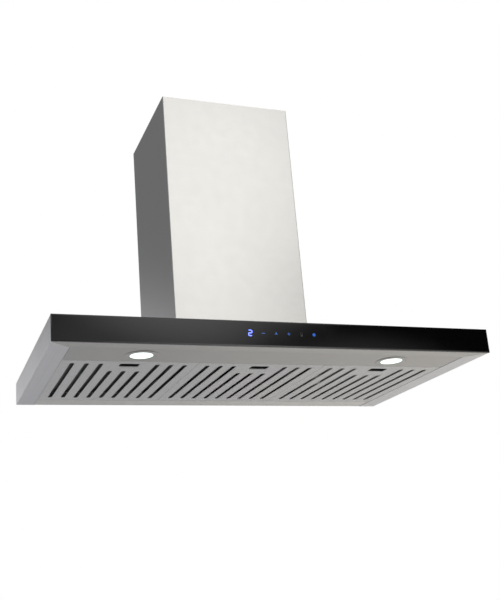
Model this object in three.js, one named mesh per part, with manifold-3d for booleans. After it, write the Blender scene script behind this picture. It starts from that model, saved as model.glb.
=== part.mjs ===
// Wall-mounted chimney range hood with a flat box canopy, in millimetres, +Z up.
// X runs along the wall, the front faces -Y, the wall is the plane Y = 0, and the origin is the
// centre of the canopy's back.

import * as THREE from 'three';
import { mergeVertices } from 'three/addons/utils/BufferGeometryUtils.js';
import Module from 'manifold-3d';

const wasm = await Module();
wasm.setup();

// ---- Overall sizes ----
const canopyWidth = 900;
const canopyDepth = 500;
const canopyHeight = 50;
const flueWidth = 304;
const flueDepth = 279;
const flueHeight = 605;

// ---- Sheet metal and clearances ----
const sheet = 1; // thickness of every folded steel panel
const fit = 0.3; // gap between two pieces that touch
const seam = 0.6; // gap beside an inset panel
const flueSlide = 0.7; // gap between the two flue sections
const pierce = 2; // how far a cutting solid runs past the face that it cuts
const mergeTolerance = 1e-4; // points nearer than this are one

// ---- Facets of round surfaces ----
const roundFacets = 32;
const wideFacets = 40;
const turnedFacets = 24;
const rodFacets = 16;
const screwFacets = 12;
const hexagon = 6;
const arcFacets = 3; // on each half turn or corner of an outline
const bellFacets = 3; // on the quarter turn of a bell mouth
const springFacets = 6; // along each turn of a coil
const cableFacets = 16; // along a cable

// ---- Canopy ----
const sideRim = 40;
const frontRim = 35;
const lipHeight = 9; // turned-up edge of the rims
const rearRailDepth = 47;
const keyholeSpacing = 600;
const keyholeRadius = 7;
const keyholeSlotWidth = 7;
const keyholeSlotRise = 14;
const hookWidth = 30; // ears that hang an inset panel on the rim lips
const hookReach = 8;

// ---- Glass front and controls ----
const glassThickness = 5;
const controlCentre = -10; // X of the control window
const controlRise = 1; // Z of the control window
const controlWindowWidth = 160;
const controlWindowHeight = 20;
const controlWall = 1.5;
const controlMargin = 5; // housing beyond the window, on each side
const controlHousingDepth = 16;
const boardThickness = 1.6;
const boardInset = 8; // board behind the canopy's front face
const displayOffset = -66.5; // from the control window's centre
const displayWidth = 14;
const displayHeight = 17;
const touchPadCount = 5;
const touchPadFirst = -40; // from the control window's centre
const touchPadPitch = 26.25;
const touchPadRadius = 5;

// ---- Lamps ----
const lampSpacing = 534;
const lampFromFront = 84; // from the face of the glass
const lensRadius = 22;
const lensThickness = 2.2;
const bezelRadius = 33.5;
const bezelFlange = 0.7;
const bezelTubeWall = 3;
const bezelTubeHeight = 13;
const heatSinkHeight = 9;
const heatSinkOverhang = 3;

// ---- Grease filters ----
const filterCount = 3;
const filterLength = 331;
const filterSideGap = 0.8;
const filterFrontGap = 1;
const filterRearGap = 1.5;
const panHeight = 13;
const slotPitch = 28.2;
const slotWidth = 10;
const slotEndMargin = 20;
const slotSideMargin = 18; // least land beside the outermost slot's centre line
const tabSpacing = 160;
const tabWidth = 20;
const tabReach = 8;
const tabRoot = 6;
const tabNotchPlay = 2;
const baffleRise = 6; // clear height under the inner baffle
const baffleSlotWidth = 12;
const baffleRearGap = 45; // slots left uncovered behind the baffle

// ---- Filter latches ----
const latchFromFront = 30; // recess centre behind the filter's front edge
const recessWidth = 40;
const recessDepth = 24;
const recessCorner = 5;
const cupWall = 1.2;
const cupHeight = 10;
const shortSlotLand = 31; // metal between the latch recess and the short slots
const fingerWall = 1.5;
const tongueWidth = 16;
const tongueThickness = 1.5;
const tongueRise = 5; // tongue above the filter's face
const lugLength = 1.5;
const springRadius = 1.8;
const springWire = 0.35;
const springTurns = 5;

// ---- Flue ----
const returnFlange = 15;
const baseFlange = 6;
const upperFlueDrop = 4; // upper section's top below the lower section's
const upperFlueLift = 2; // upper section's foot above the blower box flange
const bracketThickness = 2;
const bracketHeight = 30;
const bracketEar = 20;
const bracketPadGap = 1; // pad to the section's back flange, on each side

// ---- Blower box ----
const housingSideGap = 21; // flue's outside to the blower box, on each side
const housingFrontGap = 17;
const housingRearGap = 14;
const housingHeight = 270;
const housingFlange = 8;
const inletLedge = 10;
const screwRadius = 2;
const screwHeadRadius = 3.6;
const screwHeadHeight = 2.5;
const screwReach = 6;
const screwInset = 30;

// ---- Blower, about its own axle ----
const voluteFrontGap = 6; // blower box's front wall to the volute
const axleRise = 115; // axle above the canopy's top
const impellerRadius = 65;
const impellerWidth = 116;
const bladeCount = 24;
const bladeDepth = 11;
const bladeThickness = 1.2;
const bladeLean = 0.11; // radians that a blade's outer edge runs ahead of its inner edge
const ringThickness = 2;
const hubRadius = 10;
const hubLength = 16;
const discThickness = 1.5;
const discOffset = -10; // impeller disc from the blower's centre plane
const scrollClearance = 6;
const scrollGrowth = 29;
const tongueAngle = THREE.MathUtils.degToRad(75);
const scrollSteps = 30;
const voluteSideClearance = 6;
const inletRadius = 52;
const bellRadius = 8;
const bellWall = 1.2;
const motorRadius = 36;
const motorOverhang = 6; // motor behind its bracket
const motorBossRadius = 14;
const motorBossLength = 6;
const shaftRadius = 4;
const shaftInMotor = 25;
const nutRadius = 7.5;
const nutHeight = 6;
const bracketArms = 3;
const bracketArmWidth = 12;
const bracketStandOff = 14;
const bracketRing = 8;

// ---- Outlet collar and damper ----
const collarRadius = 75;
const collarHeight = 50;
const collarFlange = 13;
const spindleRise = 22;
const spindleRadius = 2;
const spindleOverhang = 1.5;
const stopWidth = 3;
const stopHeight = 1.5;
const flapThickness = 0.8;
const flapGap = 1.5; // flap to collar wall
const knuckleWall = 1;
const knuckleLength = 36;
const knuckleGap = 2;

// ---- Electrical parts ----
const controlBoxWidth = 170;
const controlBoxDepth = 46;
const controlBoxHeight = 34;
const boxWall = 2;
const boxLid = 3;
const glandRadius = 9;
const glandLength = 16;
const glandBore = 4;
const capacitorRadius = 15;
const capacitorHeight = 62;
const driverLength = 90;
const driverDepth = 40;
const driverHeight = 20;
const driverCentre = -170;
const cableRadius = 2;
const cableSides = 8;

// ---- Places that follow from the sizes ----
const halfWidth = canopyWidth / 2;
const underside = -canopyHeight / 2;
const canopyTop = canopyHeight / 2;
const panelUnderside = underside + sheet;
const mouthHalf = halfWidth - sideRim;
const mouthFront = -canopyDepth + frontRim;
const filterFront = -rearRailDepth - filterLength;
const panelWidth = 2 * (mouthHalf - seam);
const lightPanelFront = mouthFront + seam;
const lightPanelDepth = filterFront - lightPanelFront;
const filterPitch = 2 * mouthHalf / filterCount;
const filterWidth = filterPitch - filterSideGap;
const housingWidth = flueWidth - 2 * housingSideGap;
const housingDepth = flueDepth - housingFrontGap - housingRearGap;
const housingCentreY = -housingRearGap - housingDepth / 2;
const housingTop = canopyTop + fit + housingHeight;
const scrollStart = impellerRadius + scrollClearance;
const scrollEnd = scrollStart + scrollGrowth;
const scrollFront = scrollRadius(Math.PI) + sheet;
const axleForward = housingDepth / 2 - sheet - voluteFrontGap - scrollFront;
const axleY = housingCentreY - axleForward;
const tongueX = scrollStart * Math.cos(tongueAngle);
const outletRise = housingHeight - axleRise - sheet - fit;
const outletHalf = (scrollEnd - tongueX) / 2;
const ductY = axleY + tongueX + outletHalf;
const voluteHalf = impellerWidth / 2 + voluteSideClearance + sheet;
const bracketPlate = voluteHalf + bracketStandOff;
const sideNames = ['left', 'right'];
const filterNames = ['left', 'centre', 'right'];

// ---- Solids from three.js geometry ----

function signedVolume(position, index) {
  const [a, b, c] = [new THREE.Vector3(), new THREE.Vector3(), new THREE.Vector3()];
  let volume = 0;
  for (let i = 0; i < index.length; i += 3) {
    a.fromBufferAttribute(position, index[i]);
    b.fromBufferAttribute(position, index[i + 1]);
    c.fromBufferAttribute(position, index[i + 2]);
    volume += a.dot(b.cross(c));
  }
  return volume;
}

// A closed solid from a closed geometry. Triangles that shrink to a line at an axis are dropped,
// and a profile drawn the other way round is turned to face out.
function solid(geometry) {
  geometry.deleteAttribute('normal');
  geometry.deleteAttribute('uv');
  const merged = mergeVertices(geometry, mergeTolerance);
  const triangles = [];
  for (let i = 0; i < merged.index.count; i += 3) {
    const [a, b, c] = [0, 1, 2].map((k) => merged.index.getX(i + k));
    if (a !== b && b !== c && c !== a) triangles.push(a, b, c);
  }
  if (signedVolume(merged.attributes.position, triangles) < 0) triangles.reverse();
  return new wasm.Manifold(new wasm.Mesh({
    numProp: 3,
    vertProperties: Float32Array.from(merged.attributes.position.array),
    triVerts: Uint32Array.from(triangles),
  }));
}

function surface(body) {
  const { vertProperties, triVerts } = body.getMesh();
  const geometry = new THREE.BufferGeometry();
  geometry.setAttribute('position', new THREE.BufferAttribute(vertProperties, 3));
  geometry.setIndex(new THREE.BufferAttribute(triVerts, 1));
  geometry.computeVertexNormals();
  return geometry;
}

const join = (first, ...others) => others.reduce((sum, body) => sum.add(body), first);
const cut = (first, ...tools) => tools.reduce((rest, tool) => rest.subtract(tool), first);

function box(x0, x1, y0, y1, z0, z1) {
  const geometry = new THREE.BoxGeometry(x1 - x0, y1 - y0, z1 - z0);
  return solid(geometry.translate((x0 + x1) / 2, (y0 + y1) / 2, (z0 + z1) / 2));
}

function cylinder(radius, z0, z1, x = 0, y = 0, segments = roundFacets) {
  const geometry = new THREE.CylinderGeometry(radius, radius, z1 - z0, segments);
  return solid(geometry.rotateX(Math.PI / 2).translate(x, y, (z0 + z1) / 2));
}

function cylinderAlongX(radius, x0, x1, y, z, segments = rodFacets) {
  const geometry = new THREE.CylinderGeometry(radius, radius, x1 - x0, segments);
  return solid(geometry.rotateZ(Math.PI / 2).translate((x0 + x1) / 2, y, z));
}

function cylinderAlongY(radius, y0, y1, x, z, segments = rodFacets) {
  const geometry = new THREE.CylinderGeometry(radius, radius, y1 - y0, segments);
  return solid(geometry.translate(x, (y0 + y1) / 2, z));
}

// An outline in X and Y, from z0 to z1.
function prism(shape, z0, z1) {
  const options = { depth: z1 - z0, bevelEnabled: false, curveSegments: arcFacets };
  return solid(new THREE.ExtrudeGeometry(shape, options).translate(0, 0, z0));
}

// A closed profile of [radius, height] pairs, turned about Z.
function revolve(profile, segments = roundFacets) {
  const points = [...profile, profile[0]].map(([r, z]) => new THREE.Vector2(r, z));
  return solid(new THREE.LatheGeometry(points, segments).rotateX(Math.PI / 2));
}

function roundedRectangle(width, depth, radius, x = 0, y = 0) {
  const [dx, dy] = [width / 2 - radius, depth / 2 - radius];
  const shape = new THREE.Shape();
  shape.absarc(x + dx, y + dy, radius, 0, Math.PI / 2);
  shape.absarc(x - dx, y + dy, radius, Math.PI / 2, Math.PI);
  shape.absarc(x - dx, y - dy, radius, Math.PI, 1.5 * Math.PI);
  shape.absarc(x + dx, y - dy, radius, 1.5 * Math.PI, 2 * Math.PI);
  shape.closePath();
  return shape;
}

function slotOutline(x, y0, y1) {
  const radius = slotWidth / 2;
  const shape = new THREE.Shape();
  shape.absarc(x, y1 - radius, radius, 0, Math.PI);
  shape.absarc(x, y0 + radius, radius, Math.PI, 2 * Math.PI);
  shape.closePath();
  return shape;
}

// ---- Materials and the scene graph ----

function material(color, roughness, metalness) {
  return () => new THREE.MeshStandardMaterial({ color, roughness, metalness });
}

const brushedSteel = material(0xb9b9b4, 0.38, 0.9);
const galvanised = material(0x9a9ea0, 0.5, 0.8);
const blackGlass = material(0x0c0c0e, 0.06, 0);
const blackPlastic = material(0x1b1b1d, 0.55, 0);
const greyPlastic = material(0xc9c9c6, 0.5, 0);
const greenBoard = material(0x1f5a38, 0.5, 0);
const displayBlue = material(0x2b57ff, 0.3, 0);
const lampWhite = material(0xf3fff8, 0.3, 0);
const aluminium = material(0xc4c6c8, 0.4, 0.8);
const chrome = material(0xd9dadb, 0.15, 1);

function place(parent, name, body, finish) {
  const mesh = new THREE.Mesh(surface(body), finish());
  mesh.name = name;
  parent.add(mesh);
}

function groupAt(parent, x, y, z) {
  const group = new THREE.Group();
  group.position.set(x, y, z);
  parent.add(group);
  return group;
}

// ---- Canopy ----

function keyhole(x) {
  const half = keyholeSlotWidth / 2;
  const entry = cylinderAlongY(keyholeRadius, -sheet - pierce, pierce, x, 0);
  return entry.add(box(x - half, x + half, -sheet - pierce, pierce, 0, keyholeSlotRise));
}

function canopyShell() {
  const outer = box(-halfWidth, halfWidth, -canopyDepth, 0, underside, canopyTop);
  const room = box(
    -halfWidth + sheet, halfWidth - sheet, -canopyDepth + sheet, -sheet,
    underside + sheet, canopyTop - sheet,
  );
  const mouth = box(
    -mouthHalf, mouthHalf, mouthFront, -sheet, underside - pierce, underside + pierce,
  );
  const lipTop = panelUnderside + lipHeight;
  const lips = [
    box(mouthHalf, mouthHalf + sheet, mouthFront - sheet, -sheet, underside, lipTop),
    box(-mouthHalf - sheet, -mouthHalf, mouthFront - sheet, -sheet, underside, lipTop),
    box(-mouthHalf, mouthHalf, mouthFront - sheet, mouthFront, underside, lipTop),
  ];
  const openingX = housingWidth / 2 - sheet - inletLedge;
  const openingY = housingDepth / 2 - sheet - inletLedge;
  const blowerOpening = box(
    -openingX, openingX, housingCentreY - openingY, housingCentreY + openingY,
    canopyTop - sheet - pierce, canopyTop + pierce,
  );
  const controlWindow = box(
    controlCentre - controlWindowWidth / 2, controlCentre + controlWindowWidth / 2,
    -canopyDepth - pierce, -canopyDepth + sheet + pierce,
    controlRise - controlWindowHeight / 2, controlRise + controlWindowHeight / 2,
  );
  const screwHoles = screwPlaces().map(([x, y]) => cylinder(
    screwRadius + fit, canopyTop - sheet - pierce, canopyTop + pierce, x, y, screwFacets,
  ));
  return cut(
    join(cut(outer, room, mouth), ...lips),
    blowerOpening, controlWindow, keyhole(-keyholeSpacing / 2), keyhole(keyholeSpacing / 2),
    ...screwHoles,
  );
}

// Two ears that lie on top of the side rims' lips. Z = 0 is the panel's underside.
function hooks(y) {
  const [y0, y1] = [y - hookWidth / 2, y + hookWidth / 2];
  const edge = panelWidth / 2;
  const reach = mouthHalf + sheet + hookReach;
  const seat = lipHeight + fit;
  return [
    box(edge - sheet, edge, y0, y1, 0, seat + sheet),
    box(edge - sheet, reach, y0, y1, seat, seat + sheet),
    box(-edge, -edge + sheet, y0, y1, 0, seat + sheet),
    box(-reach, -edge + sheet, y0, y1, seat, seat + sheet),
  ];
}

// Y = 0 is the wall and Z = 0 the underside. The front lip is cut away where filter tabs swing.
function rearRail() {
  const half = panelWidth / 2;
  const back = -sheet - fit;
  const plate = box(-half, half, -rearRailDepth, back, 0, sheet);
  const frontLip = box(-half, half, -rearRailDepth, -rearRailDepth + sheet, 0, sheet + lipHeight);
  const backLip = box(-half, half, back - sheet, back, 0, sheet + lipHeight);
  const notchHalf = tabWidth / 2 + tabNotchPlay;
  const notches = filterPlaces().flatMap((x) => [-tabSpacing / 2, tabSpacing / 2].map((dx) => box(
    x + dx - notchHalf, x + dx + notchHalf, -rearRailDepth - pierce,
    -rearRailDepth + sheet + pierce, sheet, sheet + lipHeight + pierce,
  )));
  return cut(join(plate, frontLip, backLip, ...hooks(-rearRailDepth / 2)), ...notches);
}

// Y = 0 is the panel's front edge. The rear flange has a keeper window for each filter latch.
function lightPanel() {
  const half = panelWidth / 2;
  const flangeTop = sheet + lipHeight;
  const plate = box(-half, half, 0, lightPanelDepth, 0, sheet);
  const frontFlange = box(-half, half, 0, sheet, 0, flangeTop);
  const rearFlange = box(-half, half, lightPanelDepth - sheet, lightPanelDepth, 0, flangeTop);
  const windowHalf = tongueWidth / 2 + fit + sheet;
  const keepers = filterPlaces().map((x) => box(
    x - windowHalf, x + windowHalf, lightPanelDepth - sheet - pierce, lightPanelDepth + pierce,
    tongueRise - 2 * fit, tongueRise + tongueThickness + 2 * fit,
  ));
  const lampHoles = lampPlaces().map((x) => cylinder(
    lensRadius + fit + bezelTubeWall + fit, -pierce, sheet + pierce, x, lampY(),
  ));
  const body = join(plate, frontFlange, rearFlange, ...hooks(lightPanelDepth / 2));
  return cut(body, ...lampHoles, ...keepers);
}

function glassFascia() {
  return box(
    -halfWidth, halfWidth, -canopyDepth - glassThickness, -canopyDepth - fit,
    underside, canopyTop,
  );
}

// ---- Controls. Y = 0 is the canopy's front face, Z = 0 the window's centre ----

function controlHousing() {
  const halfX = controlWindowWidth / 2 + controlMargin;
  const halfZ = controlWindowHeight / 2 + controlMargin;
  const front = sheet + fit;
  const outer = box(-halfX, halfX, front, front + controlHousingDepth, -halfZ, halfZ);
  return outer.subtract(box(
    -halfX + controlWall, halfX - controlWall, front - pierce,
    front + controlHousingDepth - controlWall, -halfZ + controlWall, halfZ - controlWall,
  ));
}

function controlBoard() {
  const halfX = controlWindowWidth / 2;
  const halfZ = controlWindowHeight / 2;
  return box(-halfX, halfX, boardInset, boardInset + boardThickness, -halfZ, halfZ);
}

function displayModule() {
  const [x0, x1] = [displayOffset - displayWidth / 2, displayOffset + displayWidth / 2];
  return box(x0, x1, 0, boardInset - fit, -displayHeight / 2, displayHeight / 2);
}

function touchPad(index) {
  const x = touchPadFirst + index * touchPadPitch;
  return cylinderAlongY(touchPadRadius, 0, boardInset - fit, x, 0, screwFacets);
}

function controlCable() {
  const start = new THREE.Vector3(
    controlCentre, -canopyDepth + sheet + fit + controlHousingDepth + fit + cableRadius, 0,
  );
  const end = new THREE.Vector3(
    driverCentre + driverLength / 2 + fit, -canopyDepth + frontRim + driverDepth, 0,
  );
  const level = canopyTop - sheet - fit - driverHeight / 2;
  start.z = level;
  end.z = level;
  const bend = new THREE.Vector3(end.x + driverDepth, end.y, level);
  const aside = new THREE.Vector3((start.x + bend.x) / 2, (start.y + bend.y) / 2, level);
  const path = new THREE.CatmullRomCurve3([start, aside, bend, end]);
  const section = new THREE.Shape();
  section.absarc(0, 0, cableRadius, 0, 2 * Math.PI);
  section.closePath();
  return solid(new THREE.ExtrudeGeometry(section, {
    steps: cableFacets, extrudePath: path, curveSegments: cableSides / 2, bevelEnabled: false,
  }));
}

// ---- Lamps. Z = 0 is the light panel's underside ----

function lampPlaces() {
  return [-lampSpacing / 2, lampSpacing / 2];
}

function lampY() {
  return lampFromFront - glassThickness - canopyDepth - lightPanelFront;
}

function lampBezel() {
  const inner = lensRadius + fit;
  const outer = inner + bezelTubeWall;
  return revolve([
    [inner, -fit - bezelFlange], [bezelRadius, -fit - bezelFlange], [bezelRadius, -fit],
    [outer, -fit], [outer, bezelTubeHeight], [inner, bezelTubeHeight],
  ]);
}

function lampLens() {
  return cylinder(lensRadius, -bezelFlange, lensThickness - bezelFlange);
}

function lampModule() {
  const foot = lensThickness - bezelFlange + fit;
  const shoulder = bezelTubeHeight + fit;
  const wide = lensRadius + heatSinkOverhang;
  return revolve([
    [0, foot], [lensRadius, foot], [lensRadius, shoulder], [wide, shoulder],
    [wide, shoulder + heatSinkHeight], [0, shoulder + heatSinkHeight],
  ]);
}

// ---- Grease filters. Y = 0 is the rear rail's front edge, Z = 0 the filter's underside ----

function filterPlaces() {
  return filterNames.map((_, i) => (i - (filterCount - 1) / 2) * filterPitch);
}

function filterEdges() {
  return { half: filterWidth / 2, front: -filterLength + filterFrontGap, rear: -filterRearGap };
}

// Slot centre lines, counted out from the middle of the filter.
function slotSteps() {
  const each = Math.floor((filterWidth / 2 - slotSideMargin) / slotPitch);
  return Array.from({ length: 2 * each + 1 }, (_, i) => i - each);
}

// Slots behind the latch recess start behind it.
function slotStart(x) {
  const { front } = filterEdges();
  const besideRecess = Math.abs(x) > recessWidth / 2 + cupWall + slotWidth;
  const behindRecess = -filterLength + latchFromFront + recessDepth / 2 + cupWall + shortSlotLand;
  return besideRecess ? front + slotEndMargin : behindRecess;
}

function filterTab(x) {
  const { rear } = filterEdges();
  const [x0, x1] = [x - tabWidth / 2, x + tabWidth / 2];
  const seat = sheet + fit;
  const root = box(x0, x1, rear - tabRoot, rear, 0, seat + sheet);
  return root.add(box(x0, x1, rear - tabRoot, tabReach, seat, seat + sheet));
}

function filterFace() {
  const { half, front, rear } = filterEdges();
  const pan = cut(
    box(-half, half, front, rear, 0, sheet + panHeight),
    box(
      -half + sheet, half - sheet, front + sheet, rear - sheet,
      sheet, sheet + panHeight + pierce,
    ),
  );
  const slots = slotSteps().map((i) => prism(
    slotOutline(i * slotPitch, slotStart(i * slotPitch), rear - slotEndMargin),
    -pierce, sheet + pierce,
  ));
  const recess = prism(
    roundedRectangle(recessWidth, recessDepth, recessCorner, 0, -filterLength + latchFromFront),
    -pierce, sheet + pierce,
  );
  const tongueHalf = tongueWidth / 2 + fit;
  const tongueWindow = box(
    -tongueHalf, tongueHalf, front - pierce, front + sheet + pierce,
    tongueRise - fit, tongueRise + tongueThickness + fit,
  );
  const body = join(pan, filterTab(-tabSpacing / 2), filterTab(tabSpacing / 2));
  return cut(body, ...slots, recess, tongueWindow);
}

// An upturned tray inside the filter, whose own slots lie between those of the face.
function filterBaffle() {
  const { half, front, rear } = filterEdges();
  const x = half - sheet - fit;
  const y0 = front + sheet + fit;
  const y1 = rear - slotEndMargin - baffleRearGap;
  const foot = sheet + fit;
  const deck = foot + baffleRise;
  const tray = cut(
    box(-x, x, y0, y1, foot, deck + sheet),
    box(-x + sheet, x - sheet, y0 + sheet, y1 - sheet, foot - pierce, deck),
  );
  const notchHalf = recessWidth / 2 + cupWall + sheet;
  const notchRear = -filterLength + latchFromFront + recessDepth / 2 + cupWall + sheet;
  const notch = box(-notchHalf, notchHalf, y0 - pierce, notchRear, foot - pierce, deck + pierce);
  const slots = slotSteps().slice(1).map((i) => {
    const centre = (i - 0.5) * slotPitch;
    return box(
      centre - baffleSlotWidth / 2, centre + baffleSlotWidth / 2,
      slotStart(centre), y1 - slotEndMargin, deck - pierce, deck + pierce,
    );
  });
  return cut(tray, notch, ...slots);
}

// ---- Filter latches. The origin is the recess's centre, on the filter's underside ----

function latchFront() {
  return -latchFromFront + filterFrontGap; // outside of the filter's front wall
}

function cupFront() {
  return -recessDepth / 2 - cupWall;
}

function latchCup() {
  const foot = sheet + fit;
  const outer = roundedRectangle(
    recessWidth + 2 * cupWall, recessDepth + 2 * cupWall, recessCorner + cupWall,
  );
  const inner = roundedRectangle(recessWidth, recessDepth, recessCorner);
  const tongueHalf = tongueWidth / 2 + fit;
  return cut(
    prism(outer, foot, foot + cupHeight),
    prism(inner, foot - pierce, foot + cupHeight - cupWall),
    box(
      -tongueHalf, tongueHalf, cupFront() - pierce, -recessDepth / 2 + pierce,
      tongueRise - fit, tongueRise + tongueThickness + fit,
    ),
  );
}

// The tongue runs out through the filter's front wall and ends just short of its keeper.
function filterLatch() {
  const wallHalf = recessWidth / 2 - recessCorner;
  const wallBack = -recessDepth / 2 + 2 * fit + fingerWall;
  const nose = -latchFromFront + 2 * fit;
  const wallTop = sheet + cupHeight - cupWall - fit;
  const lugFront = latchFront() + sheet + fit;
  const tongueTop = tongueRise + tongueThickness;
  return join(
    box(-wallHalf, wallHalf, wallBack - fingerWall, wallBack, sheet, wallTop),
    box(
      -tongueWidth / 2, tongueWidth / 2, nose, wallBack - fingerWall / 2, tongueRise, tongueTop,
    ),
    box(
      -springRadius, springRadius, lugFront, lugFront + lugLength,
      tongueTop - fit, springCentre() + springRadius,
    ),
  );
}

function springCentre() {
  return tongueRise + tongueThickness + fit + springRadius + springWire;
}

function latchSpring() {
  const lugBack = latchFront() + sheet + fit + lugLength;
  const start = lugBack + fit + springWire;
  const length = cupFront() - fit - springWire - start;
  class Coil extends THREE.Curve {
    getPoint(t, target = new THREE.Vector3()) {
      const angle = t * springTurns * 2 * Math.PI;
      return target.set(
        springRadius * Math.cos(angle), start + t * length,
        springCentre() + springRadius * Math.sin(angle),
      );
    }
  }
  const wire = new THREE.Shape();
  wire.absarc(0, 0, springWire, 0, 2 * Math.PI);
  wire.closePath();
  return solid(new THREE.ExtrudeGeometry(wire, {
    steps: springFacets * springTurns, extrudePath: new Coil(), curveSegments: arcFacets,
    bevelEnabled: false,
  }));
}

// ---- Flue. Y = 0 is the section's back, Z = 0 its foot ----

function flueSection(width, depth, height) {
  const half = width / 2;
  const gap = half - sheet - returnFlange;
  return cut(
    box(-half, half, -depth, 0, 0, height),
    box(-half + sheet, half - sheet, -depth + sheet, -sheet, -pierce, height + pierce),
    box(-gap, gap, -sheet - pierce, pierce, -pierce, height + pierce),
  );
}

function lowerFlue() {
  const half = flueWidth / 2;
  const [x, y] = [half - sheet - baseFlange, -flueDepth + sheet + baseFlange];
  const foot = cut(
    box(-half + sheet / 2, half - sheet / 2, -flueDepth + sheet / 2, -sheet, 0, sheet),
    box(-x, x, y, pierce, -pierce, sheet + pierce),
  );
  return flueSection(flueWidth, flueDepth, flueHeight - fit).add(foot);
}

function upperFlueSize() {
  const foot = sheet + fit + upperFlueLift;
  return {
    foot,
    width: flueWidth - 2 * (sheet + flueSlide),
    depth: flueDepth - 2 * (sheet + flueSlide),
    height: flueHeight - upperFlueDrop - foot,
  };
}

// A strap inside the open back of the upper section, with an ear along each side wall and a pad
// that stands out between the back flanges, level with their outside.
function flueBracket() {
  const { width, height } = upperFlueSize();
  const half = width / 2 - sheet - fit;
  const front = -sheet - fit;
  const [z0, z1] = [height - bracketHeight, height];
  const strap = box(-half, half, front - bracketThickness, front, z0, z1);
  const padHalf = width / 2 - sheet - returnFlange - bracketPadGap;
  const pad = box(-padHalf, padHalf, front - bracketThickness / 2, 0, z0, z1);
  const ears = [
    box(half - bracketThickness, half, front - bracketEar, front, z0, z1),
    box(-half, -half + bracketThickness, front - bracketEar, front, z0, z1),
  ];
  return join(strap, pad, ...ears);
}

// ---- Blower box. The origin is its centre, on the canopy's top ----

function screwPlaces() {
  const x = housingWidth / 2 + housingFlange / 2;
  const y = housingDepth / 2 - screwInset;
  return [[-x, -y], [x, -y], [-x, y], [x, y]].map(([sx, sy]) => [sx, housingCentreY + sy]);
}

function motorHousing() {
  const [x, y] = [housingWidth / 2, housingDepth / 2];
  const [fx, fy] = [x + housingFlange, y + housingFlange];
  const walls = join(
    box(-x, x, -y, y, 0, housingHeight),
    box(-fx, fx, -fy, fy, 0, sheet),
  );
  const duct = ductY - housingCentreY;
  const outletX = voluteHalf - sheet;
  const holes = screwPlaces().map(([sx, sy]) => cylinder(
    screwRadius + fit, -pierce, sheet + pierce, sx, sy - housingCentreY, screwFacets,
  ));
  return cut(
    walls,
    box(-x + sheet, x - sheet, -y + sheet, y - sheet, -pierce, housingHeight - sheet),
    box(
      -outletX, outletX, duct - outletHalf, duct + outletHalf,
      housingHeight - sheet - pierce, housingHeight + pierce,
    ),
    ...holes,
  );
}

// The origin is the top of the flange that the head bears on.
function flangeScrew() {
  const head = cylinder(screwHeadRadius, fit, fit + screwHeadHeight, 0, 0, hexagon);
  return head.add(cylinder(screwRadius, -screwReach, 2 * fit, 0, 0, screwFacets));
}

// ---- Blower, turned so that its axle is local Z, local X points to the wall and local Y up ----

// The scroll's inner radius grows evenly from the tongue to the outlet.
function scrollRadius(angle) {
  return scrollStart + scrollGrowth * (angle - tongueAngle) / (2 * Math.PI - tongueAngle);
}

function scrollOutline(offset) {
  const shape = new THREE.Shape();
  shape.moveTo(tongueX - offset, (scrollStart + offset) * Math.sin(tongueAngle));
  for (let i = 1; i <= scrollSteps; i += 1) {
    const angle = tongueAngle + (2 * Math.PI - tongueAngle) * i / scrollSteps;
    const radius = scrollRadius(angle) + offset;
    shape.lineTo(radius * Math.cos(angle), radius * Math.sin(angle));
  }
  shape.lineTo(scrollEnd + offset, outletRise);
  shape.lineTo(tongueX - offset, outletRise);
  shape.closePath();
  return shape;
}

function volute(side) {
  const span = (z0, z1) => (side > 0 ? [z0, z1] : [-z1, -z0]);
  return cut(
    prism(scrollOutline(sheet), ...span(fit / 2, voluteHalf)),
    prism(scrollOutline(0), ...span(-pierce, voluteHalf - sheet)),
    box(
      tongueX, scrollEnd, outletRise - pierce, outletRise + pierce,
      ...span(-pierce, voluteHalf - sheet),
    ),
    cylinder(inletRadius, ...span(voluteHalf - sheet - pierce, voluteHalf + pierce), 0, 0, wideFacets),
  );
}

// A bell mouth outside the volute's side wall.
function inletRing(side) {
  const seat = voluteHalf + fit;
  const quarter = Array.from({ length: bellFacets + 1 }, (_, k) => k * Math.PI / 2 / bellFacets);
  const bend = (radius) => quarter.map((angle) => [
    inletRadius + bellRadius - radius * Math.cos(angle),
    side * (seat + radius * Math.sin(angle)),
  ]);
  return revolve([...bend(bellRadius), ...bend(bellRadius - bellWall).reverse()]);
}

function blade(index) {
  const inner = impellerRadius - bladeDepth;
  const turn = index * 2 * Math.PI / bladeCount;
  const stations = [0, 1];
  const edge = (side) => stations.map((t) => {
    const radius = inner + t * (bladeDepth - ringThickness / 2) + ringThickness / 4;
    const angle = turn + bladeLean * t * t + side * bladeThickness / 2 / radius;
    return new THREE.Vector2(radius * Math.cos(angle), radius * Math.sin(angle));
  });
  const shape = new THREE.Shape([...edge(-1), ...edge(1).reverse()]);
  return prism(shape, -impellerWidth / 2 + fit, impellerWidth / 2 - fit);
}

function ring(inner, outer, z0, z1) {
  return revolve([[inner, z0], [outer, z0], [outer, z1], [inner, z1]], wideFacets);
}

function impeller() {
  const inner = impellerRadius - bladeDepth;
  const end = impellerWidth / 2;
  const discEnd = discOffset + discThickness;
  const blades = Array.from({ length: bladeCount }, (_, i) => blade(i));
  return join(
    ring(inner, impellerRadius, -end, -end + ringThickness),
    ring(inner, impellerRadius, end - ringThickness, end),
    ring(shaftRadius + fit, impellerRadius - fit, discOffset, discEnd),
    ring(shaftRadius + fit, hubRadius, discEnd - hubLength, discEnd),
    ...blades,
  );
}

function motorFace() {
  return discOffset + discThickness + motorBossLength + pierce;
}

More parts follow.
